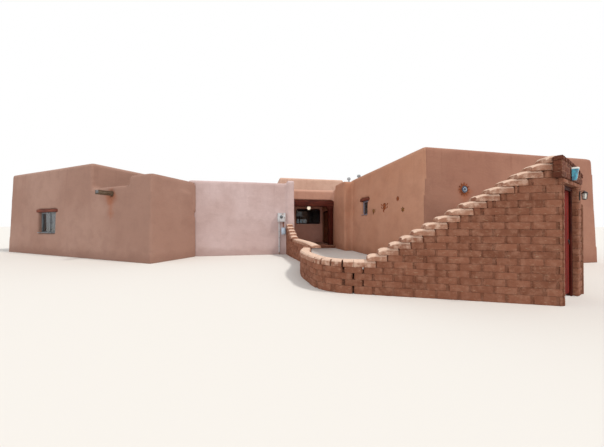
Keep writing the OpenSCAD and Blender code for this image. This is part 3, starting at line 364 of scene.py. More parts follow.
# Coats: the colour, its dirt and how much of it, the patches' scale, clean and dirty roughness
COAT = coat_effect()
LIT = {"Emission Color": (1.0, 0.86, 0.66, 1), "Emission Strength": 0.75}
CLEAR = {"Transmission Weight": 0.92, "IOR": 1.45}
for name, colour, dirt, amount, scale, smooth, rough, bump, depth, shader in (
    ("slate_frame", (112, 116, 120), (84, 70, 62), 0.35, 6, 0.4, 0.8, 0.25, 0.002, {}),
    ("pale_frame", (134, 128, 140), (96, 80, 76), 0.35, 6, 0.4, 0.8, 0.25, 0.002, {}),
    ("meter_paint", (206, 208, 210), (150, 118, 100), 0.4, 5, 0.38, 0.75, 0.25, 0.002, {}),
    ("vent_metal", (168, 170, 172), (126, 100, 84), 0.35, 7, 0.42, 0.8, 0.3, 0.002,
     {"Metallic": 0.75}),
    ("black_iron", (42, 40, 42), (92, 58, 42), 0.45, 12, 0.45, 0.85, 0.4, 0.002,
     {"Metallic": 0.6}),
    ("rusty_iron", (148, 74, 26), (98, 44, 16), 0.5, 16, 0.7, 0.9, 0.5, 0.002,
     {"Metallic": 0.1}),
    ("ochre_iron", (150, 100, 38), (104, 66, 26), 0.6, 16, 0.7, 0.9, 0.5, 0.002,
     {"Metallic": 0.1}),
    ("turquoise_glaze", (36, 162, 186), (26, 104, 130), 0.6, 14, 0.12, 0.22, 0.15, 0.002,
     glazed(0.8, 0.06)),
    # White glaze; on the pocket's rim it is a painted highlight.
    ("white_glaze_and_highlight", (226, 224, 214), (176, 160, 140), 0.4, 18, 0.15, 0.4, 0.15, 0.002,
     glazed(0.6, 0.08)),
    ("night_glaze", (34, 46, 72), (96, 110, 134), 0.2, 22, 0.2, 0.4, 0.15, 0.002,
     glazed(0.6, 0.1)),
    ("pale_blue", (186, 200, 216), (150, 126, 110), 0.35, 6, 0.4, 0.75, 0.25, 0.002, {}),
    ("lamp_glass", (250, 240, 218), (224, 202, 164), 0.3, 9, 0.25, 0.5, 0.05, 0.001, LIT),
    ("window_glass", (150, 158, 162), (130, 124, 116), 0.3, 2.5, 0.02, 0.12, 0.03, 0.001, CLEAR),
):
    finish_of(name, COAT, {"Colour": colour, "Dirt": dirt, "Amount": amount, "Scale": scale,
                           "Smooth": smooth, "Rough": rough}, bump, depth, shader)

# The walls that each plaster covers
WALLS = {
    "east_plaster": "east_front_wall east_court_wall east_outer_wall east_back_wall "
                    "court_buttress porch_east_wall entry_door_head portal_parapet",
    "hall_plaster": "hall_front_wall hall_west_wall hall_east_wall hall_back_wall",
    "west_plaster": "west_front_wall west_outer_wall west_back_wall entry_pier",
    "wing_plaster": "wing_front_wall wing_end_wall wing_back_wall wing_party_wall low_front_wall "
                    "step_front_wall step_side_wall",
}

# The CAD nodes that are shown as they are
for node, look in (("roof_decks", "roof_gravel"), ("room_floors", "clay_floor"),
                   ("window_glass", "window_glass")):
    cad[node].data.materials.clear()
    cad[node].data.materials.append(MAT[look])

# Pieces

def placed(name, data):
    """A new object in the scene, at the origin."""
    made = bpy.data.objects.new(name, data)
    bpy.context.scene.collection.objects.link(made)
    return made


def as_piece(bm, name, look, body=HOUSE, smooth=0.6):
    """Turns a finished bmesh into a named piece that rides on a body."""
    mesh = bpy.data.meshes.new(name)
    for face in bm.faces:
        face.smooth = True
    for edge in bm.edges:
        edge.smooth = edge.calc_face_angle(0) < smooth
    bm.to_mesh(mesh)
    bm.free()
    obj = placed(name, mesh)
    for each in [look] if isinstance(look, str) else look:
        mesh.materials.append(MAT[each])
    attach(obj, body)
    return obj


def gathered(nodes):
    """One bmesh of several CAD nodes, with their doubled corners merged."""
    bm = bmesh.new()
    for each in nodes:
        bm.from_mesh(cad[each].data)
    bmesh.ops.remove_doubles(bm, verts=bm.verts, dist=0.0004)
    return bm


def box_in(bm, low, high, place=Matrix.Identity(4)):
    """Adds a box between two corners, in the frame of a place. Returns its vertices."""
    low, high = Vector(low), Vector(high)
    at = place @ Matrix.Translation((low + high) / 2) @ Matrix.Diagonal((*(high - low), 1))
    return bmesh.ops.create_cube(bm, size=1, matrix=at)["verts"]


def pour(bm, one, place=Matrix.Identity(4), index=0):
    """Moves a small mesh to its place, and adds it to the piece's mesh."""
    for face in one.faces:
        face.material_index = index
    bmesh.ops.transform(one, matrix=place, verts=one.verts)
    part = bpy.data.meshes.new("part")
    one.to_mesh(part)
    one.free()
    bm.from_mesh(part)
    bpy.data.meshes.remove(part)


def bricked():
    """An empty mesh for bricks, each with a tone of its own."""
    bm = bmesh.new()
    bm.verts.layers.float.new("tone")
    return bm


def started():
    """An empty mesh for what has a grain."""
    bm = bmesh.new()
    bm.verts.layers.float_vector.new("grain")
    return bm


# Plaster skins: the CAD walls of one mass, with rounded corners and a hand-trowelled surface

# Depth to which the walls run on below the ground before the skin is cut level
FOOT = 0.3
# How far the front of a battered wall leans back for each metre of height
LEAN = 0.025


def evened(bm, grain):
    """A mesh remade in even small faces, with what overlaps run together."""
    rough = bpy.data.meshes.new("rough_shape")
    bm.to_mesh(rough)
    bm.free()
    holder = placed("rough_shape", rough)
    remesh = holder.modifiers.new("even", "REMESH")
    remesh.mode = "VOXEL"
    remesh.voxel_size = grain
    bpy.context.view_layer.update()
    even = holder.evaluated_get(bpy.context.evaluated_depsgraph_get())
    bm = bmesh.new()
    bm.from_mesh(even.to_mesh())
    even.to_mesh_clear()
    bpy.data.objects.remove(holder)
    bpy.data.meshes.remove(rough)
    return bm


def smoothed(bm, times=1):
    for _ in range(times):
        bmesh.ops.smooth_vert(bm, verts=bm.verts, factor=0.5, use_axis_x=True, use_axis_y=True,
                              use_axis_z=True)


def plaster_skin(name, look, grain, stubs=(), patches=()):
    """One skin over the walls of a mass. A stub runs a wall's end on into its neighbour.
    A patch is a box inside which the skin takes another plaster; every patch here is a lighter
    copy that paints light onto walls in shade."""
    nodes = WALLS[look].split()
    looks = [look, *dict.fromkeys(patch[0] for patch in patches)]
    bm = gathered(nodes)
    for stub in stubs:
        box_in(bm, *stub)
    for v in bm.verts:
        if v.co.z < 0.002:
            v.co.z = -FOOT
    bm = evened(bm, grain)
    smoothed(bm)
    bm.normal_update()
    for v in bm.verts:
        wave = noise.noise(v.co * 0.8) * 0.6 + noise.noise(v.co * 2.6 + Vector((9, 4, 2))) * 0.4
        v.co -= v.normal * (0.004 + 0.006 * wave)
    cut = bmesh.ops.bisect_plane(bm, geom=bm.verts[:] + bm.edges[:] + bm.faces[:],
                                 plane_co=(0, 0, 0), plane_no=(0, 0, 1), clear_inner=True)
    rim = [e for e in cut["geom_cut"] if isinstance(e, bmesh.types.BMEdge)]
    bmesh.ops.triangle_fill(bm, edges=rim, use_beauty=True, normal=(0, 0, -1))
    for other, low, high in patches:
        for face in bm.faces:
            at = face.calc_center_median()
            if all(low[i] < at[i] < high[i] for i in range(3)):
                face.material_index = looks.index(other)
    skin = as_piece(bm, name, looks, smooth=2.0)
    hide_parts(*nodes)


plaster_skin("east_skin", "east_plaster", 0.06, [
    ((-1.70, 0.02, 2.75), (-1.45, 0.22, 3.24)),
    ((1.20, 2.28, 0), (1.50, 2.60, 3.25)),
    ((2.60, 6.34, 0), (2.95, 6.62, 3.50)),
], [
    # A lighter copy on the parapet: painted light.
    ("parapet_painted_light", (-1.82, -0.1, 2.3), (1.19, 0.5, 3.4)),
    # Lighter copies on the court wall and the porch's east wall: painted light on shaded faces.
    ("court_painted_light", (0.8, -6.72, -0.1), (1.7, -0.1, 3.8)),
    ("court_painted_light", (1.1, -0.11, -0.1), (1.32, 2.3, 2.7)),
])
# The hall's wall inside the porch takes a lighter copy: painted light in the porch's shade.
plaster_skin("hall_skin", "hall_plaster", 0.055,
             patches=[("porch_painted_light", (-1.7, 2.2, 0), (1.3, 2.75, 2.75))])
plaster_skin("west_skin", "west_plaster", 0.055, [
    ((-1.80, 2.20, 0), (-1.56, 2.62, 3.24)),
    ((-2.10, 5.95, 0), (-1.60, 6.22, 3.10)),
])
plaster_skin("wing_skin", "wing_plaster", 0.06, [
    ((WING_LEN - WALL + 0.03, 1.2, 0), (WING_LEN - 0.03, 1.75, 2.6), WING),
    ((6.8, WING_DEEP - WALL + 0.03, 0), (7.3, WING_DEEP - 0.06, 2.6), WING),
])

# The garden wall: a mud core with every brick laid on it, along the winding centre line

BRICK, COURSE, BED, THICK = 0.356, 0.12, 0.03, 0.25
# Courses in the dip, at the pier and at the gate
LOW, PIER, HIGH = 5, 11, 20
# A step of the coping, its last run at the gate, and where the wall leaves the pier's plaster
TREAD, PEAK, START_LAP, PIER_FACE = 0.2, 0.24, 0.15, 0.16
# How far the mud core stays behind the bricks' faces
INSET = 0.014
# Length and turn of each straight and bend
LEGS = [(START_LAP + 2.08, 0), (3.1 * math.radians(24), -24), (0.5, 0),
        (2.25 * math.radians(23), 23), (0.55, 0), (0.75 * math.radians(62), 62), (3.4, 0)]
GARDEN_START, GARDEN_HEADING = Vector((-1.805, -2.37)), 6


def inward(a):
    return Vector((math.cos(math.radians(a)), math.sin(math.radians(a))))


def along(a):
    return Vector((math.sin(math.radians(a)), -math.cos(math.radians(a))))


def leg_end(p, a, length, turn):
    if turn == 0:
        return p + along(a) * length
    r = length / math.radians(turn)
    return p + inward(a) * r - inward(a + turn) * r


def walk(s):
    """Place and heading at a distance along the garden wall."""
    p, a = GARDEN_START, GARDEN_HEADING
    for i, (length, turn) in enumerate(LEGS):
        if s <= length or i == len(LEGS) - 1:
            return leg_end(p, a, s, turn * s / length), a + turn * s / length
        p, a, s = leg_end(p, a, length, turn), a + turn, s - length


GARDEN_LEN = round(sum(leg[0] for leg in LEGS), 3)
DIP = round(LEGS[0][0] + LEGS[1][0] + LEGS[2][0] / 2, 3)


def on_garden(s):
    """Local frame at a distance along the wall: X along it, Y towards the court, Z up."""
    p, a = walk(s)
    x, y = along(a), inward(a)
    return Matrix(((x.x, y.x, 0, p.x), (x.y, y.y, 0, p.y), (0, 0, 1, 0), (0, 0, 0, 1)))


def fall_end(n):
    return DIP if n == LOW + 1 else START_LAP + (PIER - n + 1) * TREAD


def rise_start(n):
    return GARDEN_LEN - PEAK - (HIGH - n) * TREAD


def add_brick(bm, place, size, wear=1.0, ends=1.0):
    """A sun-dried brick with flat faces, broken edges and worn ends, centred on a place."""
    one = bricked()
    layer = one.verts.layers.float["tone"]
    bmesh.ops.create_cube(one, size=1)
    bmesh.ops.subdivide_edges(one, edges=one.edges, cuts=3, use_grid_fill=True)
    shade = 0.5 + dice.uniform(-0.5, 0.5)
    lean = Matrix.Rotation(math.radians(dice.uniform(-0.6, 0.6)), 4, "Z")
    chip = dice.choice([-1, 1]) if dice.random() < 0.3 else 0
    band = [min(0.022, d * 0.2) / d for d in size]
    for v in one.verts:
        near = [abs(c) > 0.499 for c in v.co]
        part = Vector([math.copysign(0.5 - w, c) if 0.2 < abs(c) < 0.3 else c
                       for c, w in zip(v.co, band)])
        side = [math.copysign(1, c) for c in v.co]
        v.co = Vector([c * d for c, d in zip(part, size)])
        pull = Vector((0, 0, 0))
        if near[0] and near[1]:
            worn = dice.uniform(0.5, 1.7) * ends
            worn *= 2.2 if chip == side[0] and part.z * chip > -0.2 else 1
            pull += Vector((0.007, 0.0065, 0)) * worn
        if near[2] and near[1]:
            pull += Vector((0, 0.0024, 0.0016)) * dice.uniform(0.4, 1.7)
        if near[2] and near[0]:
            pull += Vector((0.004, 0, 0.003)) * dice.uniform(0.5, 1.5)
        for i in range(3):
            v.co[i] -= side[i] * pull[i] * wear
            v.co[i] += dice.uniform(-0.0014, 0.0014) * wear
        v[layer] = shade
    pour(bm, one, place @ lean)


def lay_course(bm, frame_at, s0, s1, n, thick=THICK):
    """Course n from s0 to s1, in running bond. Odd courses are shifted by half a brick."""
    z, high = (0, COURSE + BED) if n == 0 else (BED + n * COURSE, COURSE)
    step = BRICK / 2 if n % 2 else 0
    k = math.floor((s0 - step) / BRICK)
    while k * BRICK + step < s1:
        a, b = max(s0, k * BRICK + step), min(s1, (k + 1) * BRICK + step)
        k += 1
        if b - a < 0.05:
            continue
        gap = dice.uniform(0.012, 0.028)
        deep = thick + dice.uniform(-0.006, 0.004)
        at = frame_at((a + b) / 2) @ Matrix.Translation((0, 0, z + high / 2))
        add_brick(bm, at, (b - a - gap, deep, high - 0.0015), ends=1.3)


def mud_core(name, nodes):
    """The mortar between the bricks: the CAD solids, drawn in on all sides but the ground."""
    bm = gathered(nodes)
    bm.normal_update()
    for v, depth in [(v, INSET * v.calc_shell_factor()) for v in bm.verts]:
        floor = v.co.z < 0.001
        v.co -= v.normal * depth
        if floor:
            v.co.z = 0
    core = as_piece(bm, name, "mud_mortar")
    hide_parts(*nodes)


def garden_bricks():
    bm = bricked()
    for n in range(HIGH - 1):
        if n < LOW - 1:
            spans = [(PIER_FACE, GARDEN_LEN)]
        else:
            spans = [(rise_start(n + 1) + BRICK, GARDEN_LEN)]
            if n < PIER - 1:
                spans.append((PIER_FACE, fall_end(n + 2) - (BRICK - TREAD)))
        for s0, s1 in spans:
            lay_course(bm, on_garden, s0, s1, n)
    # The corner behind the gate is worn back, and the open gate clears it
    end = on_garden(GARDEN_LEN)
    back = end.inverted()
    for v in bm.verts:
        p = back @ v.co
        if p.x > -0.12 and p.z < 2.05 and p.y > 0.09:
            p.y = 0.09 + (p.y - 0.09) * min(1, max(0, (-p.x - 0.04) / 0.08))
            v.co = end @ p
    as_piece(bm, "garden_bricks", "adobe_brick")


def weathered(bm, place, size, slope):
    """A coping brick: rain has rounded its upper edges, and more so at its lower end."""
    one = bricked()
    layer = one.verts.layers.float["tone"]
    bmesh.ops.create_cube(one, size=1)
    bmesh.ops.subdivide_edges(one, edges=one.edges, cuts=5, use_grid_fill=True)
    shade = dice.random()
    seed = Vector([dice.uniform(0, 40) for _ in range(3)])
    for v in one.verts:
        along_x, up = v.co.x * 2 * slope, v.co.z + 0.5
        down_end = max(0.0, -along_x)
        v.co = Vector([c * d for c, d in zip(v.co, size)])
        rim = max(0.0, abs(v.co.y) - size[1] / 2 + 0.05) / 0.05
        v.co.z -= up ** 2 * (0.03 * rim ** 2 + (0.044 * down_end ** 3 if slope else 0))
        v.co.y -= math.copysign(0.014 * rim * up ** 2 + 0.004 * (1 - up), v.co.y)
        v.co.x += 0.012 * slope * down_end ** 4 * up
        v.co += Vector([0.004 * noise.noise(v.co * 14 + seed * (i + 1)) for i in range(3)])
        v[layer] = shade
    pour(bm, one, place)


def coping_bricks():
    """The lit top course: lapped bricks on the fall and the rise, and a run along the dip."""
    bm = bricked()
    wide = THICK + 0.034

    def lay(s0, s1, n, slope):
        z = BED + (n - 1) * COURSE
        at = on_garden((s0 + s1) / 2) @ Matrix.Translation((0, dice.uniform(-0.004, 0.004),
                                                            z + COURSE / 2))
        weathered(bm, at, (s1 - s0 - 0.004, wide, COURSE - 0.002), slope)

    for n in range(LOW + 1, PIER + 1):
        start = PIER_FACE if n == PIER else fall_end(n + 1) - (BRICK - TREAD)
        lay(start, fall_end(n), n, -1)
    s, end = DIP - (BRICK - TREAD), rise_start(LOW) + BRICK
    count = round((end - s) / 0.2)
    for i in range(count):
        lay(s + (end - s) * i / count, s + (end - s) * (i + 1) / count, LOW, 0)
    for n in range(LOW + 1, HIGH + 1):
        lay(rise_start(n), min(GARDEN_LEN - 0.02, rise_start(n) + BRICK), n, 1)
    coping = as_piece(bm, "coping_bricks", "coping_brick")
    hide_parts("garden_wall_coping")


mud_core("garden_core", ["garden_wall_low", "garden_wall_rise"])
garden_bricks()
coping_bricks()

# The gateway: jambs, the courses over the gate, and the hood that falls in a curve

GATE_TURN, JAMB_L, GATE_W, JAMB_R, GATE_H = 20, 0.08, 0.9, 0.3, 1.99
ARCH_W = JAMB_L + GATE_W + JAMB_R
# How far the hood runs on to the left and stands out in front, its top, how far it falls to the
# right, its underside, and the depth of its left end
HOOD_SIDE, HOOD_OUT, HOOD_TOP = 0.17, 0.025, 2.41
HOOD_FALL, HOOD_FOOT, HOOD_EAR = 0.155, 2.06, 0.092
corner = walk(GARDEN_LEN)[0] - inward(walk(GARDEN_LEN)[1]) * THICK / 2
GATEWAY = Matrix.Translation((corner.x, corner.y, 0)) @ Matrix.Rotation(
    math.radians(GATE_TURN), 4, "Z")


def hood_top(x):
    return HOOD_TOP - HOOD_FALL * ((x + HOOD_SIDE) / (ARCH_W + HOOD_SIDE)) ** 2


def gate_core():
    """The mud behind the gateway's bricks. The hood's left end is only as deep as an ear."""
    bm = bmesh.new()
    i, right, lap = INSET, ARCH_W - 0.055, 0.03
    box_in(bm, (i, i, 0), (JAMB_L - i, THICK - i, GATE_H + lap), GATEWAY)
    box_in(bm, (JAMB_L + GATE_W + i, i, 0), (right, THICK - i, GATE_H + lap), GATEWAY)
    box_in(bm, (i, i, GATE_H + i), (right, THICK - i, HOOD_FOOT + lap), GATEWAY)
    count = 14
    start, end = -HOOD_SIDE + 0.02, ARCH_W - 0.03
    for k in range(count):
        x0, x1 = start + (end - start) * k / count, start + (end - start) * (k + 1) / count
        back = HOOD_EAR - i if x1 < 0.02 else THICK - i
        box_in(bm, (x0, i - HOOD_OUT, HOOD_FOOT + i), (x1 + 0.002, back, hood_top(x1) - 0.03),
               GATEWAY)
    core = as_piece(bm, "gate_core", "mud_mortar")
    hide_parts("gate_arch")


def gate_bricks():
    bm, hood = bricked(), bricked()

    def lay(x0, x1, z0, z1, y0=0.0, y1=THICK, tilt=0.0, wear=1.0, to=bm):
        at = GATEWAY @ Matrix.Translation(((x0 + x1) / 2, (y0 + y1) / 2, (z0 + z1) / 2))
        at = at @ Matrix.Rotation(tilt, 4, "Y")
        add_brick(to, at, (x1 - x0 - 0.01, y1 - y0, z1 - z0 - 0.004), wear)

    for n in range(17):
        z0, z1 = (0 if n == 0 else BED + n * COURSE), BED + (n + 1) * COURSE
        z1 = min(z1, GATE_H)
        lay(0.005, JAMB_L, z0, z1, 0.004, THICK)
        inner = JAMB_L + GATE_W
        if n % 2:
            lay(inner, ARCH_W - dice.uniform(0.0, 0.02), z0, z1)
        else:
            lay(inner, inner + 0.17, z0, z1)
            lay(inner + 0.17, ARCH_W - dice.uniform(0.02, 0.05), z0, z1)
    for k in range(4):
        lay(ARCH_W * k / 4, ARCH_W * (k + 1) / 4, GATE_H, HOOD_FOOT)
    course, brick, half = 0.095, 0.29, 0.11
    for n in range(4):
        z0 = HOOD_FOOT + n * course
        x = -HOOD_SIDE - (half if n % 2 else 0)
        while x < ARCH_W:
            x0, x1 = max(x, -HOOD_SIDE), min(x + brick, ARCH_W)
            x += brick
            room = min(hood_top(x0), hood_top(x1)) - 0.075
            if x1 - x0 > 0.04 and room > z0 + 0.03:
                back = HOOD_EAR if x1 < 0.15 else THICK - 0.004
                lay(x0, x1, z0, min(z0 + course, room), -HOOD_OUT + 0.012, back, to=hood)
    count = 9
    run = ARCH_W + HOOD_SIDE
    for k in range(count):
        x0, x1 = -HOOD_SIDE + run * k / count, -HOOD_SIDE + run * (k + 1) / count
        tilt = math.atan2(hood_top(x0) - hood_top(x1), x1 - x0)
        top = (hood_top(x0) + hood_top(x1)) / 2
        back = HOOD_EAR if x1 < 0.02 else THICK - 0.002
        lay(x0, x1, top - 0.088, top - 0.006, -HOOD_OUT + 0.002, back, tilt, 2.6, hood)
    # The hood takes the darker copy of the brick: painted shade.
    as_piece(hood, "hood_bricks", "hood_brick")
    as_piece(bm, "gate_bricks", "adobe_brick")


def return_bricks():
    """The straight wall that closes the court beside the gate, in courses of bricks."""
    bm = bricked()
    low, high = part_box("court_return_wall")
    x = (low.x + high.x) / 2
    start = low.y + 0.06

    def on_return(s):
        return Matrix.Translation((x, start + s, 0)) @ Matrix.Rotation(math.pi / 2, 4, "Z")

    length = -6.78 - start
    for n in range(14):
        lay_course(bm, on_return, 0.0, length, n, thick=THICK - 0.002)
    as_piece(bm, "return_bricks", "adobe_brick")


gate_core()
mud_core("return_core", ["court_return_wall"])
gate_bricks()
return_bricks()

# Carpentry and smithing: every bar is a piece of its own, with the grain along its length

def turns(count, last=0):
    """Angles all the way round. One more closes a ring."""
    return [2 * math.pi * k / count for k in range(count + last)]


def closed_rings(one, rings):
    """Faces between rings of vertices. A ring may be a single point."""
    for a, b in zip(rings, rings[1:]):
        steps = max(len(a), len(b))
        for k in range(steps):
            n = (k + 1) % steps
            corners = [a[k % len(a)], a[n % len(a)], b[n % len(b)], b[k % len(b)]]
            one.faces.new(list(dict.fromkeys(corners)))


def bar(bm, low, high, place=Matrix.Identity(4), edge=0.004, index=0, cuts=0, hew=0.0):
    """A squared bar between two corners of a place. Hewing draws its faces in a little."""
    low, high = Vector(low), Vector(high)
    size = high - low
    order = sorted(range(3), key=lambda i: -size[i])
    one = started()
    layer = one.verts.layers.float_vector["grain"]
    bmesh.ops.create_cube(one, size=1, matrix=Matrix.Diagonal((*size, 1)))
    length = Vector([float(i == order[0]) for i in range(3)])
    for k in range(1, cuts + 1):
        bmesh.ops.bisect_plane(one, geom=one.verts[:] + one.edges[:] + one.faces[:],
                               plane_co=length * size[order[0]] * (k / (cuts + 1) - 0.5),
                               plane_no=length)
    sharp = [e for e in one.edges if e.calc_face_angle(0) > 0.5]
    bmesh.ops.bevel(one, geom=sharp, offset=min(edge, min(size) * 0.3), offset_type="OFFSET",
                    segments=2, profile=0.5, affect="EDGES", clamp_overlap=True, material=-1)
    shift = Vector([dice.uniform(0, 30) for _ in range(3)])
    for v in one.verts:
        v[layer] = Vector([v.co[i] for i in order]) + shift
        if hew:
            for i in order[1:]:
                wave = 0.5 + 0.5 * noise.noise((v.co + shift) * (3 + i))
                v.co[i] -= math.copysign(hew * wave, v.co[i])
    pour(bm, one, place @ Matrix.Translation((low + high) / 2), index)


def lathe(bm, outline, place=Matrix.Identity(4), steps=28, index=0):
    """A turned piece: an outline of radius and height, spun round the place's Z axis."""
    one = started()
    layer = one.verts.layers.float_vector["grain"]
    rings = []
    for r, z in outline:
        if r < 0.0002:
            rings.append([one.verts.new((0, 0, z))])
            continue
        rings.append([one.verts.new((r * math.cos(t), r * math.sin(t), z))
                      for t in turns(steps)])
    closed_rings(one, rings)
    for ring, turned in ((rings[0], True), (rings[-1], False)):
        if len(ring) > 1:
            one.faces.new(ring[::-1] if turned else ring)
    for v in one.verts:
        v[layer] = v.co
    bmesh.ops.recalc_face_normals(one, faces=one.faces)
    pour(bm, one, place, index)


def tube(bm, points, radius, place=Matrix.Identity(4), sides=10, index=0):
    """A round bar along a line of points. The radius is one number, or one for each point."""
    points = [Vector(p) for p in points]
    radii = [radius] * len(points) if isinstance(radius, float) else radius
    one = started()
    layer = one.verts.layers.float_vector["grain"]
    rings, run = [], 0.0
    first = (points[1] - points[0]).normalized()
    side = first.orthogonal().normalized()
    for i, p in enumerate(points):
        ahead = points[min(i + 1, len(points) - 1)] - points[max(i - 1, 0)]
        ahead.normalize()
        side = (side - ahead * side.dot(ahead)).normalized()
        other = ahead.cross(side)
        run += (p - points[i - 1]).length if i else 0
        ring = []
        for t in turns(sides):
            v = one.verts.new(p + (side * math.cos(t) + other * math.sin(t)) * radii[i])
            v[layer] = (run, math.cos(t) * radii[i], math.sin(t) * radii[i])
            ring.append(v)
        rings.append(ring)
    closed_rings(one, rings)
    one.faces.new(rings[0][::-1])
    one.faces.new(rings[-1])
    pour(bm, one, place, index)


def slab(bm, outline, y0, y1, place=Matrix.Identity(4), index=0, edge=0.003):
    """A flat shape in the XZ plane of a place, from y0 to y1, with its rims broken."""
    one = started()
    layer = one.verts.layers.float_vector["grain"]
    shape = one.faces.new([one.verts.new((x, y0, z)) for x, z in outline])
    made = bmesh.ops.extrude_face_region(one, geom=[shape])
    bmesh.ops.translate(one, vec=(0, y1 - y0, 0),
                        verts=[v for v in made["geom"] if isinstance(v, bmesh.types.BMVert)])
    bmesh.ops.recalc_face_normals(one, faces=one.faces)
    rims = [e for e in one.edges if abs(e.verts[0].co.y - e.verts[1].co.y) < 1e-6]
    bmesh.ops.bevel(one, geom=rims, offset=edge, offset_type="OFFSET", segments=1, profile=0.5,
                    affect="EDGES", clamp_overlap=True, material=-1)
    for v in one.verts:
        v[layer] = v.co
    pour(bm, one, place, index)


def round_line(x, z, r, a0, a1, steps=6):
    turns = [math.radians(a0 + (a1 - a0) * k / steps) for k in range(steps + 1)]
    return [(x + r * math.cos(t), z + r * math.sin(t)) for t in turns]


def facing(x, y, z, turn):
    """A frame at a place: X along the wall, Y into it from its face, Z up."""
    return Matrix.Translation((x, y, z)) @ Matrix.Rotation(math.radians(turn), 4, "Z")


# Porch timbers

# The porch between its walls, the beam's underside and top, and where the ceiling starts and ends
LEFT, RIGHT, BEAM_Z, BEAM_TOP, IN, END = -1.535, 1.18, 2.37, 2.72, 0.262, 2.43
# The top of the post, and its front and back
POST_TOP, POST_FRONT, POST_BACK, VIGA_R = 2.275, 0.05, 0.31, 0.09


def porch_timbers():
    bm = started()
    bar(bm, (LEFT, 0.004, BEAM_Z), (RIGHT, 0.36, BEAM_TOP), edge=0.014, cuts=17, hew=0.012)
    beam = as_piece(bm, "porch_beam", "red_wood")
    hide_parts("portal_beam")
    bm = started()
    bar(bm, (0.887, POST_FRONT, 0.15), (1.147, POST_BACK, POST_TOP), edge=0.022, cuts=15,
        hew=0.006)
    post = as_piece(bm, "porch_post", "dark_wood")
    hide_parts("portal_post")
    bm = started()
    r = 0.076
    outline = [(0.767 + r, POST_TOP), (1.147, POST_TOP), (1.147, BEAM_Z), (0.767, BEAM_Z)]
    slab(bm, outline + round_line(0.767, POST_TOP, r, 90, 0), POST_FRONT, POST_BACK)
    corbel = as_piece(bm, "porch_corbel", "red_wood")
    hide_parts("portal_corbel")
    bm = started()
    for k in range(5):
        x = LEFT + (RIGHT - LEFT) * (k + 0.5) / 5
        seed = dice.uniform(0, 50)
        line, radii = [], []
        for n in range(15):
            y = IN + (END - IN) * n / 14
            sway = noise.noise(Vector((y * 0.9, seed, 0)))
            line.append((x + 0.006 * sway, y, 2.81 + 0.004 * sway))
            radii.append(VIGA_R - 0.007 + 0.005 * noise.noise(Vector((y * 2.3, seed, 7))))
        tube(bm, line, radii, sides=18)
    vigas = as_piece(bm, "porch_vigas", "red_wood")
    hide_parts("portal_vigas")
    bm = started()
    y, back = IN, 2.442
    while y < END:
        wide = min(dice.uniform(0.12, 0.16), back - y)
        bar(bm, (LEFT, y, 2.9 + dice.uniform(0, 0.003)), (RIGHT, y + wide - 0.004, 2.924),
            edge=0.003)
        y += wide
    bar(bm, (LEFT, IN, 2.925), (RIGHT, back, 2.99), index=1, edge=0.01)
    deck = as_piece(bm, "porch_ceiling", ["red_wood", "roof_gravel"])
    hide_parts("portal_deck")


def porch_tiles():
    """Square clay tiles in a mortar bed."""
    bm = bricked()
    across, deep = 9, 8
    wide, long = (RIGHT - LEFT) / across, 2.62 / deep
    for i in range(across):
        for j in range(deep):
            at = Matrix.Translation((LEFT + wide * (i + 0.5), -0.25 + long * (j + 0.5), 0.136))
            add_brick(bm, at, (wide - 0.012, long - 0.012, 0.026), wear=0.35)
    as_piece(bm, "porch_tiles", "clay_tile")
    bm = started()
    bar(bm, (LEFT, -0.246, 0), (RIGHT, 2.366, 0.141), edge=0.006)
    bed = as_piece(bm, "porch_bed", "mud_mortar")
    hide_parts("porch_floor")


# Windows

PLAIN_W, PLAIN_H, PLAIN_SILL = 1.37, 0.92, 0.95
PLAIN_PLACES = [WING @ Matrix.Translation((2.67, 0, 0)), facing(1.19, 7.37, 0, 180),
                facing(-3.28726, 6.27, 0, 180), facing(8.51, -4.53333, 0, 90),
                facing(8.51, 0, 0, 90)]
SLIDER, COURT_WINDOW = facing(-0.61, 2.37, 0, 0), facing(1.56, -2.66, 0, -90)
# A window frame's width, and its front and back behind the face of the wall
FRAME, FRONT, BACK = 0.028, 0.15, 0.22


def framed(bm, x0, x1, z0, z1, y0, y1, wide, place, edge=0.003, index=0):
    """Two rails between two stiles."""
    bar(bm, (x0, y0, z0), (x0 + wide, y1, z1), place, edge, index)
    bar(bm, (x1 - wide, y0, z0), (x1, y1, z1), place, edge, index)
    bar(bm, (x0 + wide, y0, z0), (x1 - wide, y1, z0 + wide), place, edge, index)
    bar(bm, (x0 + wide, y0, z1 - wide), (x1 - wide, y1, z1), place, edge, index)


def window(bm, w, h, sill, place, sashes, board=True):
    """An outer frame, and inside it one sash for each pane, with its glazing beads."""
    z0, z1 = sill, sill + h
    framed(bm, 0, w, z0, z1, FRONT, BACK, FRAME, place)
    inner = (w - 2 * FRAME) / sashes
    for k in range(sashes):
        x0 = FRAME + inner * k
        step = 0.012 * (k % 2)
        framed(bm, x0, x0 + inner, z0 + FRAME, z1 - FRAME, FRONT + 0.008 + step, BACK - 0.02,
               0.027, place)
        framed(bm, x0 + 0.026, x0 + inner - 0.026, z0 + 0.054, z1 - 0.054, 0.176, 0.181, 0.007,
               place, 0.001)
    if board:
        face = LEAN * sill
        bar(bm, (0.004, face - 0.016, z0), (w - 0.004, FRONT + 0.01, z0 + 0.024), place, 0.006)


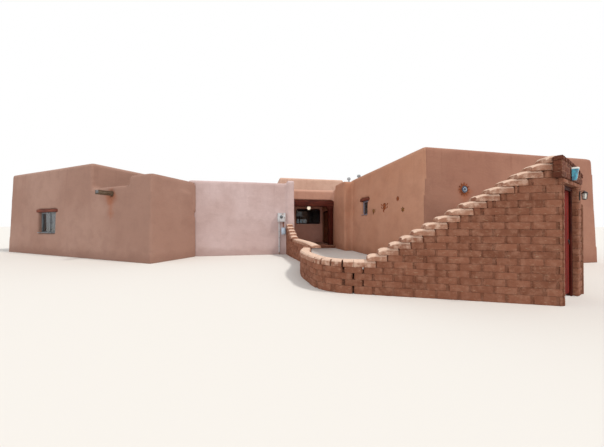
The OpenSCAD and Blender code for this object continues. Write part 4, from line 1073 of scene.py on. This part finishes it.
def windows():
    bm = started()
    window(bm, 1.67, 1.0, 1.385, SLIDER, 2, board=False)
    bar(bm, (0.03, FRONT - 0.012, 1.39), (1.64, FRONT + 0.01, 1.405), SLIDER, 0.003)
    bar(bm, (0.845, FRONT - 0.006, 1.8), (0.86, FRONT + 0.012, 1.98), SLIDER, 0.003)
    slider = as_piece(bm, "slider_sashes", "dark_frame")
    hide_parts("slider_frame")
    bm = started()
    window(bm, 0.55, 0.64, 1.76, COURT_WINDOW, 1)
    court = as_piece(bm, "court_window", "pale_frame")
    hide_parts("court_window_frame")
    bm = started()
    for place in PLAIN_PLACES:
        window(bm, PLAIN_W, PLAIN_H, PLAIN_SILL, place, 2)
        x = PLAIN_W / 2 + 0.02
        bar(bm, (x, FRONT - 0.004, 1.38), (x + 0.016, FRONT + 0.01, 1.47), place, 0.003)
    plain = as_piece(bm, "plain_windows", "slate_frame")
    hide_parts("plain_window_frames")
    bm = started()
    for place, w, head in [(p, PLAIN_W, PLAIN_SILL + PLAIN_H) for p in PLAIN_PLACES] + [
            (COURT_WINDOW, 0.55, 2.4)]:
        face = LEAN * head - 0.02
        bar(bm, (-0.15, face, head), (w + 0.15, 0.36, head + 0.13), place, 0.012, cuts=9,
            hew=0.007)
    lintels = as_piece(bm, "window_beams", "lintel_wood")
    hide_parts("window_lintels")


# The entry door and the garden gate

DOORWAY = facing(1.18, 2.25, 0, -90)
# Width, foot and head of the door's opening
DOOR_HOLE = 1.12, 0.15, 2.21
GATE_HOLE = GATEWAY @ Matrix.Translation((JAMB_L, 0, 0))
# The frame's width, its stop, the gap round the leaf, and the hinges' radius and height
JAMB, STOP_T, STOP_W, GAP, HINGE_R, HINGE_H = 0.06, 0.025, 0.015, 0.005, 0.009, 0.06
AXIS = JAMB + GAP / 2


def hinge_heights(z0, z1):
    return [z0 + (z1 - z0) * share for share in (0.16, 0.8)]


def barrel(bm, y, z, place, index):
    r = HINGE_R
    lathe(bm, [(r * 0.7, 0), (r, 0.002), (r, HINGE_H - 0.002), (r * 0.7, HINGE_H)],
          place @ Matrix.Translation((AXIS, y, z)), 14, index)


def jambs(bm, w, z0, z1, setback, leaf_t, place):
    """Door jambs and head with their stops, and the frame's half of the hinges."""
    mid, inner = setback + STOP_T, setback + STOP_T + GAP + leaf_t
    stop = JAMB + STOP_W
    for x0, x1, s0, s1 in ((0, JAMB, 0, stop), (w - JAMB, w, w - stop, w)):
        bar(bm, (x0, mid, z0), (x1, inner, z1 - JAMB), place, 0.003)
        bar(bm, (s0, setback, z0), (s1, mid, z1 - stop), place, 0.004)
    bar(bm, (0, mid, z1 - JAMB), (w, inner, z1), place, 0.003)
    bar(bm, (0, setback, z1 - stop), (w, mid, z1), place, 0.004)
    for z in hinge_heights(z0, z1):
        barrel(bm, inner + HINGE_R, z, place, 1)
        bar(bm, (JAMB / 4, inner, z), (AXIS, inner + 0.004, z + HINGE_H), place, 0.001, 1)


def leaf_hinges(bm, w, z0, z1, back, place, index=1):
    """The leaf's half of the hinges, with pointed straps."""
    for z in hinge_heights(z0, z1):
        low = z + HINGE_H + 0.0003
        barrel(bm, back + HINGE_R, low, place, index)
        end = AXIS + w * 0.3
        slab(bm, [(AXIS, low), (end - 0.04, low + 0.014), (end - 0.02, low + 0.012),
                  (end, low + 0.03), (end - 0.02, low + 0.048), (end - 0.04, low + 0.046),
                  (AXIS, low + 0.06)], back, back + 0.004, place, index, 0.001)
        for k in range(3):
            stud(bm, AXIS + 0.04 + k * (w * 0.3 - 0.08) / 2.4, back + 0.004, low + 0.03, place,
                 index, 0.006, 1)


def stud(bm, x, y, z, place, index, r=0.008, side=-1):
    """A domed nail head on a face that looks along Y."""
    at = place @ Matrix.Translation((x, y, z)) @ Matrix.Rotation(-side * math.pi / 2, 4, "X")
    lathe(bm, [(r, -0.001), (r, 0.0008), (r * 0.7, 0.003), (0, 0.0042)], at, 8, index)


def raised_field(bm, x0, x1, z0, z1, y, rise, place):
    """A panel with a raised field and a carved diamond on its outer face."""
    bar(bm, (x0 - 0.006, y, z0 - 0.006), (x1 + 0.006, y + 0.02, z1 + 0.006), place, 0.002)
    cx, cz = (x0 + x1) / 2, (z0 + z1) / 2
    one = started()
    layer = one.verts.layers.float_vector["grain"]
    steps = []
    for inset, up in ((0.018, 0.01), (0.018, 0.001), (0.045, -rise * 0.6),
                      (0.05, -rise * 0.6), (0.055, -rise)):
        steps.append([one.verts.new((x, y + up, z)) for x, z in (
            (x0 + inset, z0 + inset), (x1 - inset, z0 + inset), (x1 - inset, z1 - inset),
            (x0 + inset, z1 - inset))])
    closed_rings(one, steps)
    one.faces.new(steps[-1])
    one.faces.new(steps[0][::-1])
    dx, dz = (x1 - x0) / 2 - 0.085, (z1 - z0) / 2 - 0.085
    back, rim = [[one.verts.new((cx + dx * a, y - rise + deep, cz + dz * b))
                  for a, b in ((-1, 0), (0, -1), (1, 0), (0, 1))] for deep in (0.008, 0.0005)]
    tip = one.verts.new((cx, y - rise - 0.006, cz))
    one.faces.new(back[::-1])
    closed_rings(one, [back, rim, [tip]])
    for v in one.verts:
        v[layer] = (v.co.z, v.co.x, v.co.y)
    bmesh.ops.recalc_face_normals(one, faces=one.faces)
    pour(bm, one, place)


def entry_door():
    place, y0, y1 = DOORWAY, 0.07, 0.118
    x0, x1, z0, z1 = 0.065, 1.055, 0.155, 2.145
    bm = started()
    mid0, mid1, stile = 0.515, 0.605, 0.11
    bar(bm, (x0, y0, z0), (x0 + stile, y1, z1), place)
    bar(bm, (x1 - stile, y0, z0), (x1, y1, z1), place)
    rails = [(z0, 0.375), (0.66, 0.735), (1.02, 1.16), (1.55, 1.635), (2.025, z1)]
    for low, high in rails:
        bar(bm, (x0 + stile, y0, low), (x1 - stile, y1, high), place)
    for (_, low), (high, _) in zip(rails, rails[1:]):
        bar(bm, (mid0, y0, low), (mid1, y1, high), place)
        for a, b in ((x0 + stile, mid0), (mid1, x1 - stile)):
            raised_field(bm, a, b, low, high, 0.086, 0.01, place)
    leaf_hinges(bm, *DOOR_HOLE, y1, place)
    slab(bm, [(0.985, 1.0), (1.02, 1.0), (1.028, 1.03), (1.02, 1.25), (1.0025, 1.275),
              (0.985, 1.25), (0.977, 1.03)], y0 - 0.005, y0, place, 1, 0.001)
    tube(bm, [(1.0025, y0 - 0.004, 1.03), (1.0025, y0 - 0.034, 1.045), (1.0025, y0 - 0.046, 1.1),
              (1.0025, y0 - 0.034, 1.165), (1.0025, y0 - 0.004, 1.18)],
         [0.006, 0.008, 0.009, 0.008, 0.006], place, 10, 1)
    bar(bm, (0.99, y0 - 0.03, 1.2), (1.015, y0 - 0.003, 1.207), place, 0.002, 1)
    knob = [(0.011, 0), (0.011, 0.02), (0.024, 0.028), (0.028, 0.038), (0.02, 0.047), (0, 0.05)]
    lathe(bm, knob, place @ Matrix.Translation((1.0025, y1, 1.1))
          @ Matrix.Rotation(-math.pi / 2, 4, "X"), 20, 1)
    leaf = as_piece(bm, "carved_door", ["door_wood", "black_iron"], DOOR)
    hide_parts("entry_door")
    bm = started()
    jambs(bm, *DOOR_HOLE, 0.04, 0.048, place)
    frame_piece = as_piece(bm, "door_jambs", ["dark_wood", "black_iron"])
    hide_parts("entry_door_frame")


def garden_gate():
    place, y0, y1 = GATE_HOLE, 0.1, 0.144
    x0, x1, z0, z1 = 0.065, 0.835, 0.06, 1.925
    bm = started()
    count = 6
    wide = (x1 - x0) / count
    for k in range(count):
        a = x0 + wide * k
        bar(bm, (a + 0.0015, y0 + dice.uniform(0, 0.003), z0 + dice.uniform(0, 0.006)),
            (a + wide - 0.0015, y0 + 0.024, z1 - dice.uniform(0, 0.006)), place, 0.004)
    ledges = ((0.33, 0.49), (0.96, 1.08), (1.6, 1.76))
    for low, high in ledges:
        bar(bm, (x0 + 0.02, y0 + 0.024, low), (x1 - 0.02, y1, high), place, 0.004)
        for k in range(count):
            for z in (low + 0.035, high - 0.035):
                stud(bm, x0 + wide * (k + 0.5), y0 + 0.003, z, place, 1)
    for low, high in ((0.49, 0.96), (1.08, 1.6)):
        a, b = Vector((x0 + 0.06, low)), Vector((x1 - 0.06, high))
        side = Vector((low - high, x1 - x0 - 0.12)).normalized() * 0.045
        slab(bm, [tuple(a - side), (a.x + 0.1, low), tuple(b - side * 0.2), (b.x, high),
                  (b.x - 0.1, high), tuple(a + side * 0.6)], y0 + 0.026, y1 - 0.002, place, 0)
    leaf_hinges(bm, GATE_W, 0, GATE_H, y1, place)
    lathe(bm, [(0.03, 0), (0.03, 0.002), (0.022, 0.005), (0.01, 0.01), (0, 0.011)],
          place @ Matrix.Translation((0.772, y0 + 0.003, 1.02))
          @ Matrix.Rotation(math.pi / 2, 4, "X"), 20, 1)
    ring = [(0.772 + 0.034 * math.sin(t), y0 - 0.01, 0.99 + 0.034 * math.cos(t))
            for t in [2 * math.pi * k / 20 for k in range(21)]]
    tube(bm, ring, 0.005, place, 8, 1)
    bar(bm, (0.66, y1, 1.005), (0.828, y1 + 0.008, 1.03), place, 0.002, 1)
    leaf = as_piece(bm, "gate_boards", ["gate_wood", "black_iron"], GATE)
    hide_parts("garden_gate")
    bm = started()
    jambs(bm, GATE_W, 0, GATE_H, 0.07, 0.044, place)
    frame_piece = as_piece(bm, "gate_jambs", ["dark_wood", "black_iron"])
    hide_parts("gate_frame")


# Fittings

# Height of the middle of the porch lamp's globe
LAMP_Z = 2.31


def dome(r, z, a0, a1, steps=8):
    return [(abs(x), h) for x, h in round_line(0, z, r, a0, a1, steps)]


def porch_lamp():
    bm = started()
    at = Matrix.Translation(((LEFT + RIGHT) / 2, 0.56, 0))
    low = LAMP_Z
    lathe(bm, dome(0.105, low, -90, 55, 16) + [(0.05, low + 0.09)], at, 36)
    lathe(bm, [(0.05, low + 0.081), (0.064, low + 0.081), (0.066, low + 0.093),
               (0.05, low + 0.107), (0.03, low + 0.125), (0.02, low + 0.149),
               (0.0145, low + 0.155), (0.0145, 2.695), (0.035, 2.698), (0.068, 2.706),
               (0.0735, 2.716), (0.0735, BEAM_TOP)], at, 32, 1)
    lamp = as_piece(bm, "porch_globe", ["lamp_glass", "black_iron"])
    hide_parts("porch_lamp")


def spout():
    bm = started()
    bar(bm, (-0.11, -0.38, 0), (0.11, 0.36, 0.036), SPOUT, 0.006, cuts=5, hew=0.003)
    for a, b in ((-0.11, -0.074), (0.074, 0.11)):
        bar(bm, (a, -0.376, 0.037), (b, 0.36, 0.148), SPOUT, 0.006, cuts=5, hew=0.003)
    tin = [(-0.071, 0.15), (-0.071, 0.043), (-0.06, 0.04), (0.06, 0.04), (0.071, 0.043),
           (0.071, 0.15), (0.0695, 0.15), (0.0695, 0.045), (0.059, 0.0415), (-0.059, 0.0415),
           (-0.0695, 0.045), (-0.0695, 0.15)]
    slab(bm, tin, -0.379, 0.36, SPOUT, 1, 0.0004)
    made = as_piece(bm, "roof_spout", ["grey_wood", "vent_metal"])
    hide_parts("canale")


def meters():
    bm = started()
    x0, x1, face = -2.29, -1.95, -2.58
    bar(bm, (x0, face, 1.45), (x1, -2.39, 1.82), edge=0.008)
    bar(bm, (x0 + 0.012, face - 0.008, 1.462), (x1 - 0.012, face + 0.01, 1.808), edge=0.005)
    bar(bm, (x0 - 0.004, face - 0.014, 1.812), (x1 + 0.004, -2.39, 1.83), edge=0.004)
    bar(bm, (x1 - 0.05, face - 0.02, 1.6), (x1 - 0.03, face - 0.006, 1.65), edge=0.003, index=1)
    for z in (1.5, 1.77):
        bar(bm, (x0 + 0.002, face - 0.012, z - 0.02), (x0 + 0.016, face, z + 0.02), edge=0.002,
            index=1)
    eye = Matrix.Translation((-2.135, face - 0.008, 1.66)) @ Matrix.Rotation(
        math.pi / 2, 4, "X")
    lathe(bm, [(0.078, 0), (0.078, 0.012), (0.07, 0.018), (0.064, 0.018), (0.064, 0.006),
               (0, 0.006)], eye, 32, 1)
    lathe(bm, [(0.064, 0.004), (0.062, 0.03), (0.05, 0.042), (0, 0.046)], eye, 32, 3)
    low0, low1 = -2.12, -1.95
    bar(bm, (low0, -2.541, 0.882), (low1, -2.4, 1.178), edge=0.006, index=2)
    bar(bm, (low0 + 0.008, -2.548, 0.892), (low1 - 0.008, -2.53, 1.15), edge=0.004, index=2)
    bar(bm, (low0 - 0.003, -2.55, 1.155), (low1 + 0.003, -2.4, 1.184), edge=0.004, index=2)
    bar(bm, (low0 + 0.07, -2.556, 0.9), (low0 + 0.1, -2.545, 0.925), edge=0.002, index=1)
    tube(bm, [(-2.218, -2.462, 0), (-2.218, -2.462, 0.7), (-2.218, -2.458, 1.45)], 0.024,
         sides=16)
    tube(bm, [(-2.035, -2.455, 1.18), (-2.035, -2.452, 1.45)], 0.022, sides=16, index=4)
    for z in (0.35, 1.0):
        bar(bm, (-2.262, -2.489, z), (-2.174, -2.42, z + 0.022), edge=0.004, index=1)
    for x, z in ((-2.218, 1.42), (-2.035, 1.425), (-2.035, 1.19), (-2.218, 0.72)):
        lathe(bm, [(0.024, 0), (0.031, 0.002), (0.031, 0.024), (0.024, 0.026)],
              Matrix.Translation((x, -2.458, z)), 16, 1)
    made = as_piece(bm, "meter_cases", ["meter_paint", "vent_metal", "pale_blue", "window_glass",
                                        "rusty_iron"])
    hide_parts("meter_boxes")


def vents():
    bm = started()
    deck, top = 3.14, 4.05
    shape = [(0.19, deck), (0.185, deck + 0.008), (0.1, deck + 0.03), (0.062, deck + 0.13),
             (0.0555, deck + 0.14), (0.054, deck + 0.2), (0.074, deck + 0.205),
             (0.056, deck + 0.23), (0.054, top - 0.15), (0.054, top - 0.1)]
    cap = [(0.09, top - 0.121), (0.099, top - 0.118), (0.097, top - 0.06), (0.082, top - 0.05),
           (0.085, top - 0.03), (0.06, top - 0.008), (0, top)]
    for x, y in ((2.02, -0.2), (2.26, -1.0)):
        at = Matrix.Translation((x, y, 0))
        lathe(bm, shape, at, 28)
        lathe(bm, cap, at, 28)
        for t in turns(3):
            c, s = math.cos(t), math.sin(t)
            tube(bm, [(x + 0.05 * c, y + 0.05 * s, top - 0.17),
                      (x + 0.09 * c, y + 0.09 * s, top - 0.1)], 0.004, sides=6)
    made = as_piece(bm, "vent_stacks", "vent_metal")
    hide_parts("roof_vents")


def lantern():
    at = GATEWAY @ Matrix.Translation((JAMB_L + GATE_W + 0.105, 0, 1.76))
    bm = started()
    slab(bm, [(-0.0255, 0.012), (-0.012, 0), (0.012, 0), (0.0255, 0.012), (0.0255, 0.158),
              (0, 0.17), (-0.0255, 0.158)], -0.0115, 0.0, at, 0, 0.002)
    tube(bm, [(0, -0.008, 0.15), (0, -0.03, 0.166), (0, -0.055, 0.166), (0, -0.0627, 0.158)],
         0.0045, at, 8)
    body = at @ Matrix.Translation((0, -0.0627, 0))
    lathe(bm, [(0.012, 0.0), (0.03, 0.01), (0.03, 0.018), (0.0, 0.018)], body, 6)
    lathe(bm, [(0.026, 0.018), (0.034, 0.116)], body, 24, 1)
    lathe(bm, [(0.0, 0.114), (0.0455, 0.116), (0.0455, 0.122), (0.03, 0.142), (0.012, 0.155),
               (0.006, 0.165), (0.0, 0.169)], body, 6)
    for t in turns(6):
        c, s = math.cos(t), math.sin(t)
        tube(bm, [(0.03 * c, 0.03 * s, 0.014), (0.0385 * c, 0.0385 * s, 0.118)], 0.0025, body, 6)
    made = as_piece(bm, "gate_lamp", ["black_iron", "white_glaze_and_highlight"])
    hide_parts("gate_lantern")


def pocket():
    """A half-round pocket of turquoise glazed clay; the white on its rim is a painted highlight.
    """
    at = GATEWAY @ Matrix.Translation((JAMB_L + GATE_W * 0.4, -HOOD_OUT, GATE_H + 0.06))
    outline = [(0.0, 0.0), (0.03, 0.0), (0.042, 0.004), (0.047, 0.014), (0.056, 0.07),
               (0.063, 0.13), (0.068, 0.172), (0.0725, 0.178), (0.075, 0.19), (0.0745, 0.21),
               (0.071, 0.2175), (0.066, 0.2165), (0.062, 0.2), (0.05, 0.09), (0.036, 0.024),
               (0.0, 0.02)]
    bm = started()
    lathe(bm, outline, Matrix.Identity(4), 40)
    bmesh.ops.bisect_plane(bm, geom=bm.verts[:] + bm.edges[:] + bm.faces[:], plane_co=(0, 0, 0),
                           plane_no=(0, 1, 0), clear_outer=True)
    bmesh.ops.holes_fill(bm, edges=[e for e in bm.edges if e.is_boundary])
    # The rim's faces are painted white: a painted highlight on the glaze.
    for face in bm.faces:
        if face.calc_center_median().z > 0.192:
            face.material_index = 1
    bmesh.ops.transform(bm, matrix=at, verts=bm.verts)
    made = as_piece(bm, "glazed_pocket", ["turquoise_glaze", "white_glaze_and_highlight"])
    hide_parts("gate_pocket")


# Ornaments

def melted(limbs, grain, flat):
    """One body of several tapering limbs, run together, and pressed flat against the wall."""
    bm = bmesh.new()
    for x0, z0, r0, x1, z1, r1 in limbs:
        run = math.hypot(x1 - x0, z1 - z0)
        count = max(2, math.ceil(run / (min(r0, r1) * 0.7)) + 1)
        for k in range(count):
            t = k / (count - 1)
            r = r0 + (r1 - r0) * t
            at = Matrix.Translation((x0 + (x1 - x0) * t, 0, z0 + (z1 - z0) * t))
            bmesh.ops.create_icosphere(bm, subdivisions=2, radius=r, matrix=at)
    even = evened(bm, grain)
    smoothed(even, 2)
    for v in even.verts:
        v.co.y *= flat
    return even


def lizard_limbs(h):
    """Head up, tail curled. The sizes are hundredths of its length."""
    shape = [(0, 33, 5.5, 0, 27, 8.5), (0, 27, 8.5, 0, 18, 6.5), (0, 18, 6.5, 0, 2, 9),
             (0, 2, 9, 0, -14, 7), (0, -14, 6.5, 4, -26, 4.4), (4, -26, 4.4, 8, -36, 3.2),
             (8, -36, 3.2, 4, -45, 2.4), (4, -45, 2.4, -5, -47, 1.8)]
    for s in (-1, 1):
        for z in (15, -11):
            shape += [(5 * s, z, 3.6, 18 * s, z + 3, 2.9),
                      (18 * s, z + 3, 2.9, 20 * s, z + 13, 2.4)]
            shape += [(20 * s, z + 13, 2, (20 + d) * s, z + 18 - abs(d) * 0.4, 1.5)
                      for d in (-4, 0, 4)]
    return [tuple(c * h / 100 for c in limb) for limb in shape]


def on_court_face(y, z):
    """Frame on the court wall, with X along it and Z up it, and Y into the wall."""
    return (Matrix.Translation((1.56 + LEAN * z, y, z)) @ Matrix.Rotation(math.pi / 2, 4, "Z")
            @ Matrix.Scale(-1, 4, (0, 1, 0)))


def star_plate(bm, points, r, rise, place, index=0, inner=0.55):
    """A star of sheet metal, folded so that each ray has a ridge."""
    one = started()
    tip = one.verts.new((0, -rise, 0))
    rim, foot = [], []
    for k in range(points * 2):
        t = math.pi * k / points
        d = r if k % 2 == 0 else r * inner
        rim.append(one.verts.new((d * math.sin(t), -rise * (0.55 if k % 2 == 0 else 0.25),
                                  d * math.cos(t))))
        foot.append(one.verts.new((d * math.sin(t), 0.02, d * math.cos(t))))
    closed_rings(one, [foot, rim, [tip]])
    one.faces.new(foot[::-1])
    bmesh.ops.recalc_face_normals(one, faces=one.faces)
    pour(bm, one, place, index)


def ornaments():
    bm = started()
    for y, z, h, wide, index in ((-3.808, 1.87, 0.28, 2.2, 1), (-4.624, 1.991, 0.42, 2.5, 0)):
        body = melted(lizard_limbs(h), h * 0.015, 0.6)
        for v in body.verts:
            v.co.x *= wide
        bmesh.ops.transform(body, matrix=on_court_face(y, z), verts=body.verts)
        bmesh.ops.recalc_face_normals(body, faces=body.faces)
        pour(bm, body, index=index)
    for y, z, points, index in ((-5.46, 2.222, 8, 0), (-5.753, 1.823, 6, 1)):
        star_plate(bm, points, 0.09, 0.016, on_court_face(y, z), index)
    bmesh.ops.recalc_face_normals(bm, faces=bm.faces)
    made = as_piece(bm, "wall_lizards", ["rusty_iron", "ochre_iron"])
    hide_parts("wall_ornaments")
    bm = started()
    z = 2.39
    at = Matrix.Translation((3.0195, -6.8 + LEAN * z, z))
    star_plate(bm, 12, 0.21, 0.01, at, 0, 0.62)
    rim = [(0.118 * math.sin(t), -0.01, 0.118 * math.cos(t))
           for t in turns(36, 1)]
    tube(bm, rim, 0.009, at, 10, 0)
    out = at @ Matrix.Rotation(math.pi / 2, 4, "X")
    lathe(bm, [(0.11, 0.004), (0.104, 0.012), (0.085, 0.018), (0.06, 0.021)], out, 40, 1)
    lathe(bm, [(0.06, 0.014), (0.058, 0.024), (0.054, 0.026), (0.048, 0.022)], out, 40, 3)
    lathe(bm, [(0.049, 0.018), (0.036, 0.028), (0.018, 0.033), (0, 0.034)], out, 32, 1)
    made = as_piece(bm, "sun_disc", ["rusty_iron", "night_glaze", "white_glaze_and_highlight", "pale_blue"])
    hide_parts("sun_ornament")


porch_timbers()
porch_tiles()
windows()
entry_door()
garden_gate()
porch_lamp()
spout()
meters()
vents()
lantern()
pocket()
ornaments()

# The stage: floor, light and camera

def stage():
    floor = bpy.data.meshes.new("studio_floor")
    bm = bmesh.new()
    bmesh.ops.create_grid(bm, x_segments=2, y_segments=2, size=220)
    bm.to_mesh(floor)
    bm.free()
    ground = placed("studio_floor", floor)
    pale = bpy.data.materials.new("studio_floor")
    pale.use_nodes = True
    shade = pale.node_tree.nodes["Principled BSDF"]
    shade.inputs["Base Color"].default_value = srgb(226, 222, 216)
    shade.inputs["Roughness"].default_value = 0.95
    shade.inputs["Specular IOR Level"].default_value = 0.1
    floor.materials.append(pale)
    world = bpy.data.worlds.new("studio")
    bpy.context.scene.world = world
    world.use_nodes = True
    world.node_tree.nodes.clear()
    web = Web(world.node_tree)
    path = web.add("LightPath").outputs
    seen = web.math("MAXIMUM", path["Is Camera Ray"],
                    web.math("MAXIMUM", path["Is Glossy Ray"], path["Is Transmission Ray"]))
    soft = web.add("Background", {"Color": (0.97, 0.985, 1.0, 1), "Strength": 0.8})
    white = web.add("Background", {"Color": (1, 1, 1, 1), "Strength": 1.0})
    both = web.add("MixShader", {0: seen, 1: soft.outputs[0], 2: white.outputs[0]})
    web.add("OutputWorld", {"Surface": both.outputs[0]})
    for name, aim, strength, angle in (
        ("key", Vector((0.5, -0.26, 0.82)), 1.75, 7),
        ("fill", Vector((-0.8, -0.58, 0.14)), 0.66, 50),
        ("front", Vector((-0.12, -0.99, 0.06)), 0.22, 30),
    ):
        lamp = bpy.data.lights.new(name, "SUN")
        lamp.energy = strength
        lamp.angle = math.radians(angle)
        lamp.color = (1.0, 0.965, 0.92) if name == "key" else (0.93, 0.96, 1.0)
        placed(name, lamp).rotation_euler = aim.to_track_quat("Z", "Y").to_euler()
    lens = bpy.data.cameras.new("camera")
    lens.sensor_width = 36
    lens.lens = 13.65
    lens.clip_end = 600
    eye = placed("camera", lens)
    eye.location = (-3.2, -12.63, 1.3)
    eye.rotation_euler = (math.radians(90.4), 0, math.radians(-11.2))
    bpy.context.scene.camera = eye
    bpy.context.scene.view_settings.view_transform = "Standard"


stage()
